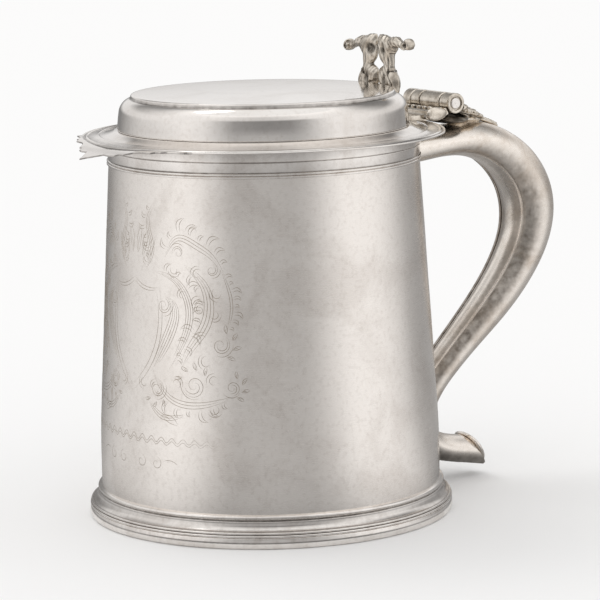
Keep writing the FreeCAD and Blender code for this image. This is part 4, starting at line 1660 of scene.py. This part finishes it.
    def build_drop(self) -> None:
        """Slim rib on the handle's crown beyond the leaf, with beads that grow smaller."""
        line = np.array(self.crown)
        line = np.stack([line[:, 0], 0 * line[:, 0], line[:, 1]], axis=1)
        size = np.array([(1.7, 0.8), (1.4, 0.75), (1.1, 0.7), (0.6, 0.5)])
        at = np.linspace(0.08, 0.92, 7)
        t = spaced(line[:, [0, 2]])
        spots = cubic(t, line, at * t[-1])
        patches = [barred_rib(line, size)]
        for spot, radius in zip(spots, np.linspace(0.95, 0.6, len(spots))):
            patches.append(ball((spot[0], 0, spot[2] + 0.45), (radius, radius * 1.1, radius * 0.9)))
        make_piece("leaf_drop_cast", patches, FINISH.cast, Body.VESSEL, ("leaf_drop",),
                   gain=0.4, spread=2)

    def build_bar_beads(self) -> None:
        """Long beads with dark dots between them, on the bar's front edge."""
        pitch = 3.4
        count = int(2 * (self.bar_half - 0.8) / pitch) + 1
        patches = []
        for index in range(count):
            y = (index - (count - 1) / 2) * pitch
            patches.append(ball((self.bar_x - 1.7, y, self.bar_top + 0.05), (0.75, 1.25, 0.75)))
            dot = ball((self.bar_x - 2.15, y + pitch / 2, self.bar_top + 0.12), (0.5, 0.42, 0.42))
            dot.recess = np.ones(dot.points.shape[:2])
            patches.append(dot)
        make_piece("bar_beads_chased", patches, FINISH.cast, Body.LID,
                   ("bar_beading",), gain=0.25, spread=0)

    def build_leaf_beads(self) -> None:
        """Round beads along both edges of the leaf, smaller towards its tip."""
        edge = np.array([(80.0, 11.9, 138.7), (82.5, 11.3, 138.2), (84.6, 8.3, 137.8),
                         (87.5, 8.0, 137.1), (90.0, 6.2, 136.3), (92.2, 4.7, 135.6),
                         (94.6, 2.8, 134.9)])
        t = spaced(edge)
        line = cubic(t, edge, np.linspace(0, t[-1], 13))
        grow = np.linspace(0.85, 0.55, len(line))
        patches = []
        for side in (-1, 1):
            for spot, size in zip(line, grow):
                patches.append(ball((spot[0], side * spot[1], spot[2]), (size, size, size)))
        make_piece("leaf_beads_chased", patches, FINISH.cast, Body.VESSEL, gain=0.25,
                   spread=1)


def barred_rib(line: np.ndarray, size: np.ndarray) -> Patch:
    """Oval bar along a line in the plane of symmetry: w across and h up at each of its points.

    Args:
        line: Its points in mm.
        size: Half width and half height at each point.

    Returns:
        The patch.
    """
    t = spaced(line[:, [0, 2]])
    at = np.linspace(0, t[-1], 40)
    run, bulk = cubic(t, line, at), cubic(t, size, at)
    angle = TURN * np.arange(24) / 24
    points = np.stack([run[:, :1] + 0 * angle, bulk[:, :1] * np.cos(angle),
                       run[:, 2:3] + bulk[:, 1:2] * np.sin(angle)], axis=2)
    return Patch(points, capped=True)


def worn_copy(node: str, body: Body) -> None:
    """Stands a worn casting in for a CAD node: its merged copy, re-skinned and softened.

    Args:
        node: The CAD node.
        body: Its body.
    """
    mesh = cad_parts[node].data.copy()
    edit(mesh, merge)
    obj = show(node + "_cast", mesh)
    fuse(obj, CASTING_VOXEL_MM, None)
    skin = obj.data
    attribute = skin.attributes.new("recess", "FLOAT", "POINT")
    attribute.data.foreach_set("value", recess_of(skin, 0.7, 3).astype(np.float32))
    skin.shade_smooth()
    hang(obj, FINISH.cast, body, (node,))


@dataclass
class Thumbpiece:
    """Twin scrolls: each has a bulging foot, a waist, a ribbed hood and a curled volute."""

    x: float = 50.4
    foot_z: float = 146.2
    volute_y: float = 18.6
    volute_z: float = 163.6
    volute_r: float = 2.4

    def scroll(self, side: int) -> list[Patch]:
        """The tubes of one scroll, leaning a little outwards at the top.

        Args:
            side: -1 for the near scroll, 1 for the far one.

        Returns:
            Its patches, which cross each other.
        """
        x, z = self.x, self.foot_z
        # height over the foot, inner edge, outer edge and half depth
        levels = np.array([(0.0, 3.0, 9.6, 2.2), (2.0, 3.6, 11.4, 2.4), (4.0, 3.9, 12.0, 2.5),
                           (5.5, 1.9, 11.3, 2.5), (6.8, 0.2, 10.2, 2.4), (7.9, 1.7, 9.5, 2.0),
                           (8.9, 3.1, 9.2, 1.85), (11.3, 3.7, 9.2, 1.75), (13.2, 2.2, 9.4, 2.1),
                           (14.6, 1.0, 9.8, 2.4), (16.2, 0.5, 10.4, 2.6), (17.8, 0.5, 11.2, 2.7),
                           (19.1, 0.9, 12.0, 2.4), (20.0, 2.2, 11.4, 1.7), (20.6, 4.4, 9.6, 0.7)])
        middle = (levels[:, 1] + levels[:, 2]) / 2
        stem_size = np.stack([(levels[:, 2] - levels[:, 1]) / 2, levels[:, 3]], axis=1)
        stem = np.stack([np.full(len(levels), x), side * middle, z + levels[:, 0]], axis=1)
        lift = -0.5 * side
        arm = np.array([(x, side * 8.5, z + 18.5), (x, side * 11.5, z + 18.6 + lift),
                        (x, side * 14.0, z + 17.9 + lift), (x, side * 16.2, z + 17.3 + lift)])
        arm_size = np.array([(2.1, 2.2), (1.9, 2.2), (1.3, 1.6), (1.5, 1.7)])
        patches = [
            tube(stem, stem_size, ribs=6, depth=0.03, rows=90),
            tube(arm, arm_size, ribs=7, depth=0.05, rows=40),
        ]
        angle = np.radians(np.linspace(100, -330, 13))
        radius = np.linspace(self.volute_r - 0.9, 0.5, 13)
        volute_z = self.volute_z + 2 * lift
        curl = np.stack([np.full(13, x), side * (self.volute_y - 0.25 + radius * np.cos(angle)),
                         volute_z + radius * np.sin(angle)], axis=1)
        size = np.stack([np.linspace(0.95, 0.5, 13), np.linspace(1.9, 2.3, 13)], axis=1)
        patches.append(tube(curl, size, rows=60))
        patches.append(ball((x, side * (self.volute_y - 0.2), volute_z), (2.5, 0.8, 0.8)))
        return patches

    def hollows(self, side: int, points: np.ndarray) -> np.ndarray:
        """Depth of the oval hollows in the hood, the bulge and the volute's eye.

        Each is deep * exp(-(dy / wide)^2 - (dz / tall)^2) about its middle.

        Args:
            side: -1 for the near scroll, 1 for the far one.
            points: Points in mm.

        Returns:
            The depth in mm at each point.
        """
        y, z = points[:, 1] * side, points[:, 2] - self.foot_z
        total = np.zeros(len(points))
        for at_y, at_z, wide, tall, deep in (
            (4.2 - 1.3 * side, 16.4, 1.2 + 0.35 * side, 1.8, 2.0),
            (5.4, 5.4, 1.2, 1.9, 1.1),
            (18.6, 17.4 - side, 0.8, 0.8, 0.8),
        ):
            total += deep * np.exp(-((y - at_y) / wide) ** 2 - ((z - at_z) / tall) ** 2)
        return total

    def chase(self, side: int) -> Callable:
        """Chased lines: the skin moves along its normal by waves that run with the scroll.

        Args:
            side: -1 for the near scroll, 1 for the far one.

        Returns:
            The function that moves the points.
        """
        def move(points: np.ndarray, normals: np.ndarray) -> np.ndarray:
            """Fine slanting lines, a groove inside the bulge's rim, and the hollows.

            Args:
                points: Points of the skin in mm.
                normals: Their directions.

            Returns:
                The moved points.
            """
            y, z = points[:, 1] * side, points[:, 2] - self.foot_z
            lines = 0.06 * np.sin(3.6 * y + 1.6 * z + 1.2 * np.sin(0.7 * z))
            rim = y - np.interp(z, (0, 4, 7, 9, 14), (9.4, 10.2, 8.2, 7.9, 8.0))
            lines -= 0.4 * np.exp(-(rim / 0.35) ** 2) * np.clip((15 - z) / 3, 0, 1)
            facing = np.clip(np.abs(normals[:, 0]) * 1.4, 0, 1)
            return points + normals * (lines - self.hollows(side, points) * facing)[:, None]
        return move

    def shade_and_tarnish(self, side: int) -> Callable:
        """Painted shade in the hollows, on an evenly tarnished casting.

        Args:
            side: -1 for the near scroll, 1 for the far one.

        Returns:
            The function that gives the extra painted shade and tarnish at points.
        """
        def shade_and_stain(points: np.ndarray) -> np.ndarray:
            """Painted shade deep in the hollows, and an even tarnish all over.

            Args:
                points: Points of the skin in mm.

            Returns:
                The painted shade and tarnish at each.
            """
            # Painted shade: the hollows' depth darkens them; the 0.16 is an even tarnish all over.
            return self.hollows(side, points) ** 1.5 * 0.9 + 0.16
        return shade_and_stain

    def build(self) -> None:
        """Makes the two scrolls."""
        for name, side in (("near", -1), ("far", 1)):
            make_piece("thumb_scroll_" + name + "_cast", self.scroll(side), FINISH.cast, Body.LID,
                       ("thumb_scroll_" + name,), gain=1.1, spread=3, voxel_mm=0.15,
                       shape=self.chase(side), shade_and_stain=self.shade_and_tarnish(side))


# ---------------------------------------------------------------- studio


@dataclass
class Studio:
    """Pale floor, soft light from both sides and above, and the camera."""

    away: float = 1100.0
    turn_deg: float = 33.0
    height: float = 255.4
    yaw_deg: float = 0.610
    pitch_deg: float = 9.293
    roll_deg: float = 1.148
    lens: float = 187.2

    def camera(self) -> None:
        """Camera on a long lens, turned, tipped and rolled about its own place."""
        yaw, pitch, roll = (math.radians(v) for v in (self.yaw_deg, self.pitch_deg, self.roll_deg))
        turn = math.radians(self.turn_deg)
        spin = Matrix.Rotation(-turn, 3, "Z")
        ahead = Vector((math.sin(yaw) * math.cos(pitch), math.cos(yaw) * math.cos(pitch),
                        -math.sin(pitch)))
        right = Vector((math.cos(yaw), -math.sin(yaw), 0))
        up = right.cross(ahead)
        right, up = (math.cos(roll) * right - math.sin(roll) * up,
                     math.sin(roll) * right + math.cos(roll) * up)
        axes = [spin @ v for v in (right, up, -ahead)]
        place = spin @ Vector((0, -self.away, self.height)) * MM
        data = bpy.data.cameras.new("camera")
        data.lens = self.lens
        data.sensor_width = 36.0
        data.clip_start = 0.05
        data.clip_end = 100.0
        obj = show("camera", data)
        basis = Matrix((axes[0], axes[1], axes[2])).transposed().to_4x4()
        obj.matrix_world = Matrix.Translation(place) @ basis
        bpy.context.scene.camera = obj

    def floor(self) -> None:
        """White paper floor that runs out past every view."""
        half = 14.0
        mesh = bpy.data.meshes.new("floor")
        corners = [(-half, -half, 0), (half, -half, 0), (half, half, 0), (-half, half, 0)]
        mesh.from_pydata(corners, [], [(0, 1, 2, 3)])
        paper = bpy.data.materials.new("paper_white_matt")
        tree = empty_tree(paper)
        shader = Paint.node(tree, "ShaderNodeBsdfDiffuse", {"Color": (0.9, 0.9, 0.9, 1.0)})
        Paint.node(tree, "ShaderNodeOutputMaterial", links={"Surface": shader.outputs[0]})
        mesh.materials.append(paper)
        obj = show("floor", mesh)

    def bowl(self) -> Patch:
        """Shape and brightness of the card that stands round the object.

        Its rows run out along the floor and then up, at the radii and heights of levels, and its
        brightness at each row follows the direction from the camera's side, so the sides are lit
        and the gaps before and behind the object are dim.

        Returns:
            The patch, with the brightness in place of tarnish.
        """
        ways = np.array([-180, -150, -128, -108, -88, -60, -46, -34, -22, 0, 20, 30, 42, 55, 80,
                         96, 112, 130, 150, 180], float)
        sides = np.array([0.3, 0.24, 0.5, 0.72, 0.8, 1.0, 0.9, 0.68, 0.47, 0.49, 0.45, 0.52, 0.74,
                          0.98, 0.95, 0.74, 0.42, 0.34, 0.4, 0.3])
        above = np.array([0.9, 0.8, 0.8, 0.9, 0.95, 1.05, 0.95, 0.68, 0.36, 0.27, 0.3, 0.45, 0.8,
                          1.05, 1.05, 0.95, 0.8, 0.8, 0.9, 0.9])
        high = np.array([0.22, 0.3, 0.55, 0.8, 1.0, 1.0, 1.0, 0.9, 0.8, 0.7, 0.8, 0.9, 1.0, 1.0, 1.0,
                         0.85, 0.55, 0.3, 0.22, 0.22])
        levels = ((70.0, 0.6, sides * 0.3 + 0.02), (84.0, 0.6, sides * 0.45 + 0.03),
                  (110.0, 0.6, sides * 0.75 + 0.06), (200.0, 0.6, sides * 0.9 + 0.06),
                  (430.0, 0.6, sides), (450.0, 20.0, sides), (450.0, 150.0, sides),
                  (450.0, 200.0, above), (450.0, 290.0, above), (450.0, 380.0, high),
                  (450.0, 560.0, high), (420.0, 900.0, 0 * high + 1.15))
        angle = np.radians(np.arange(0, 360, 4.0))
        toward = math.radians(270 - self.turn_deg)
        way = (np.degrees(angle - toward) + 180) % 360 - 180
        points, glow = [], []
        for radius, height, row in levels:
            points.append(np.stack([radius * np.cos(angle), radius * np.sin(angle),
                                    np.full(len(angle), height)], axis=1))
            glow.append(np.interp(way, ways, row))
        return Patch(np.stack(points), recess=np.stack(glow))

    def reflectors(self) -> None:
        """Stands the lit card round the object, where only polished surfaces see it."""
        p, faces, _, marks = self.bowl().arrays()
        mesh = bpy.data.meshes.new("reflectors")
        mesh.from_pydata((p * MM).tolist(), [], faces)
        attribute = mesh.attributes.new("glow", "FLOAT", "POINT")
        attribute.data.foreach_set("value", marks.astype(np.float32))
        mesh.shade_smooth()
        obj = show("reflectors", mesh)
        card = bpy.data.materials.new("card_lit")
        tree = empty_tree(card)
        glows = Paint.node(tree, "ShaderNodeAttribute", attribute_name="glow")
        shader = Paint.node(tree, "ShaderNodeEmission", {"Color": (1.0, 0.985, 0.975, 1.0)},
                            {"Strength": glows.outputs["Fac"]})
        Paint.node(tree, "ShaderNodeOutputMaterial", links={"Surface": shader.outputs[0]})
        mesh.materials.append(card)
        for ray in ("camera", "diffuse", "transmission", "volume_scatter", "shadow"):
            setattr(obj, "visible_" + ray, False)

    def light(self) -> None:
        """Even soft light from the whole room, and a broad lamp from the upper left."""
        world = bpy.data.worlds.new("studio")
        bpy.context.scene.world = world
        tree = empty_tree(world)
        back = Paint.node(tree, "ShaderNodeBackground", {"Color": (1.0, 0.995, 0.99, 1.0),
                          "Strength": 0.98})
        Paint.node(tree, "ShaderNodeOutputWorld", links={"Surface": back.outputs[0]})
        key = bpy.data.lights.new("key", "SUN")
        key.energy = 0.4
        key.angle = math.radians(40)
        lamp = show("key", key)
        lamp.rotation_euler = (math.radians(-24), math.radians(-30), math.radians(-self.turn_deg))
        scene = bpy.context.scene
        scene.view_settings.view_transform = "Standard"
        scene.view_settings.look = "None"

    def build(self) -> None:
        """Sets the studio up."""
        self.camera()
        self.floor()
        self.reflectors()
        self.light()


def main() -> None:
    """Builds the tankard's pieces in order, then the studio."""
    logging.basicConfig(level=logging.INFO, format="%(name)s: %(message)s")
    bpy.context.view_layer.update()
    vessel = Vessel()
    vessel.build()
    Engraving(vessel).build()
    Handle(vessel).build()
    Lid().build()
    Hinge().build()
    Thumbpiece().build()
    Studio().build()


if __name__ == "__main__":
    main()
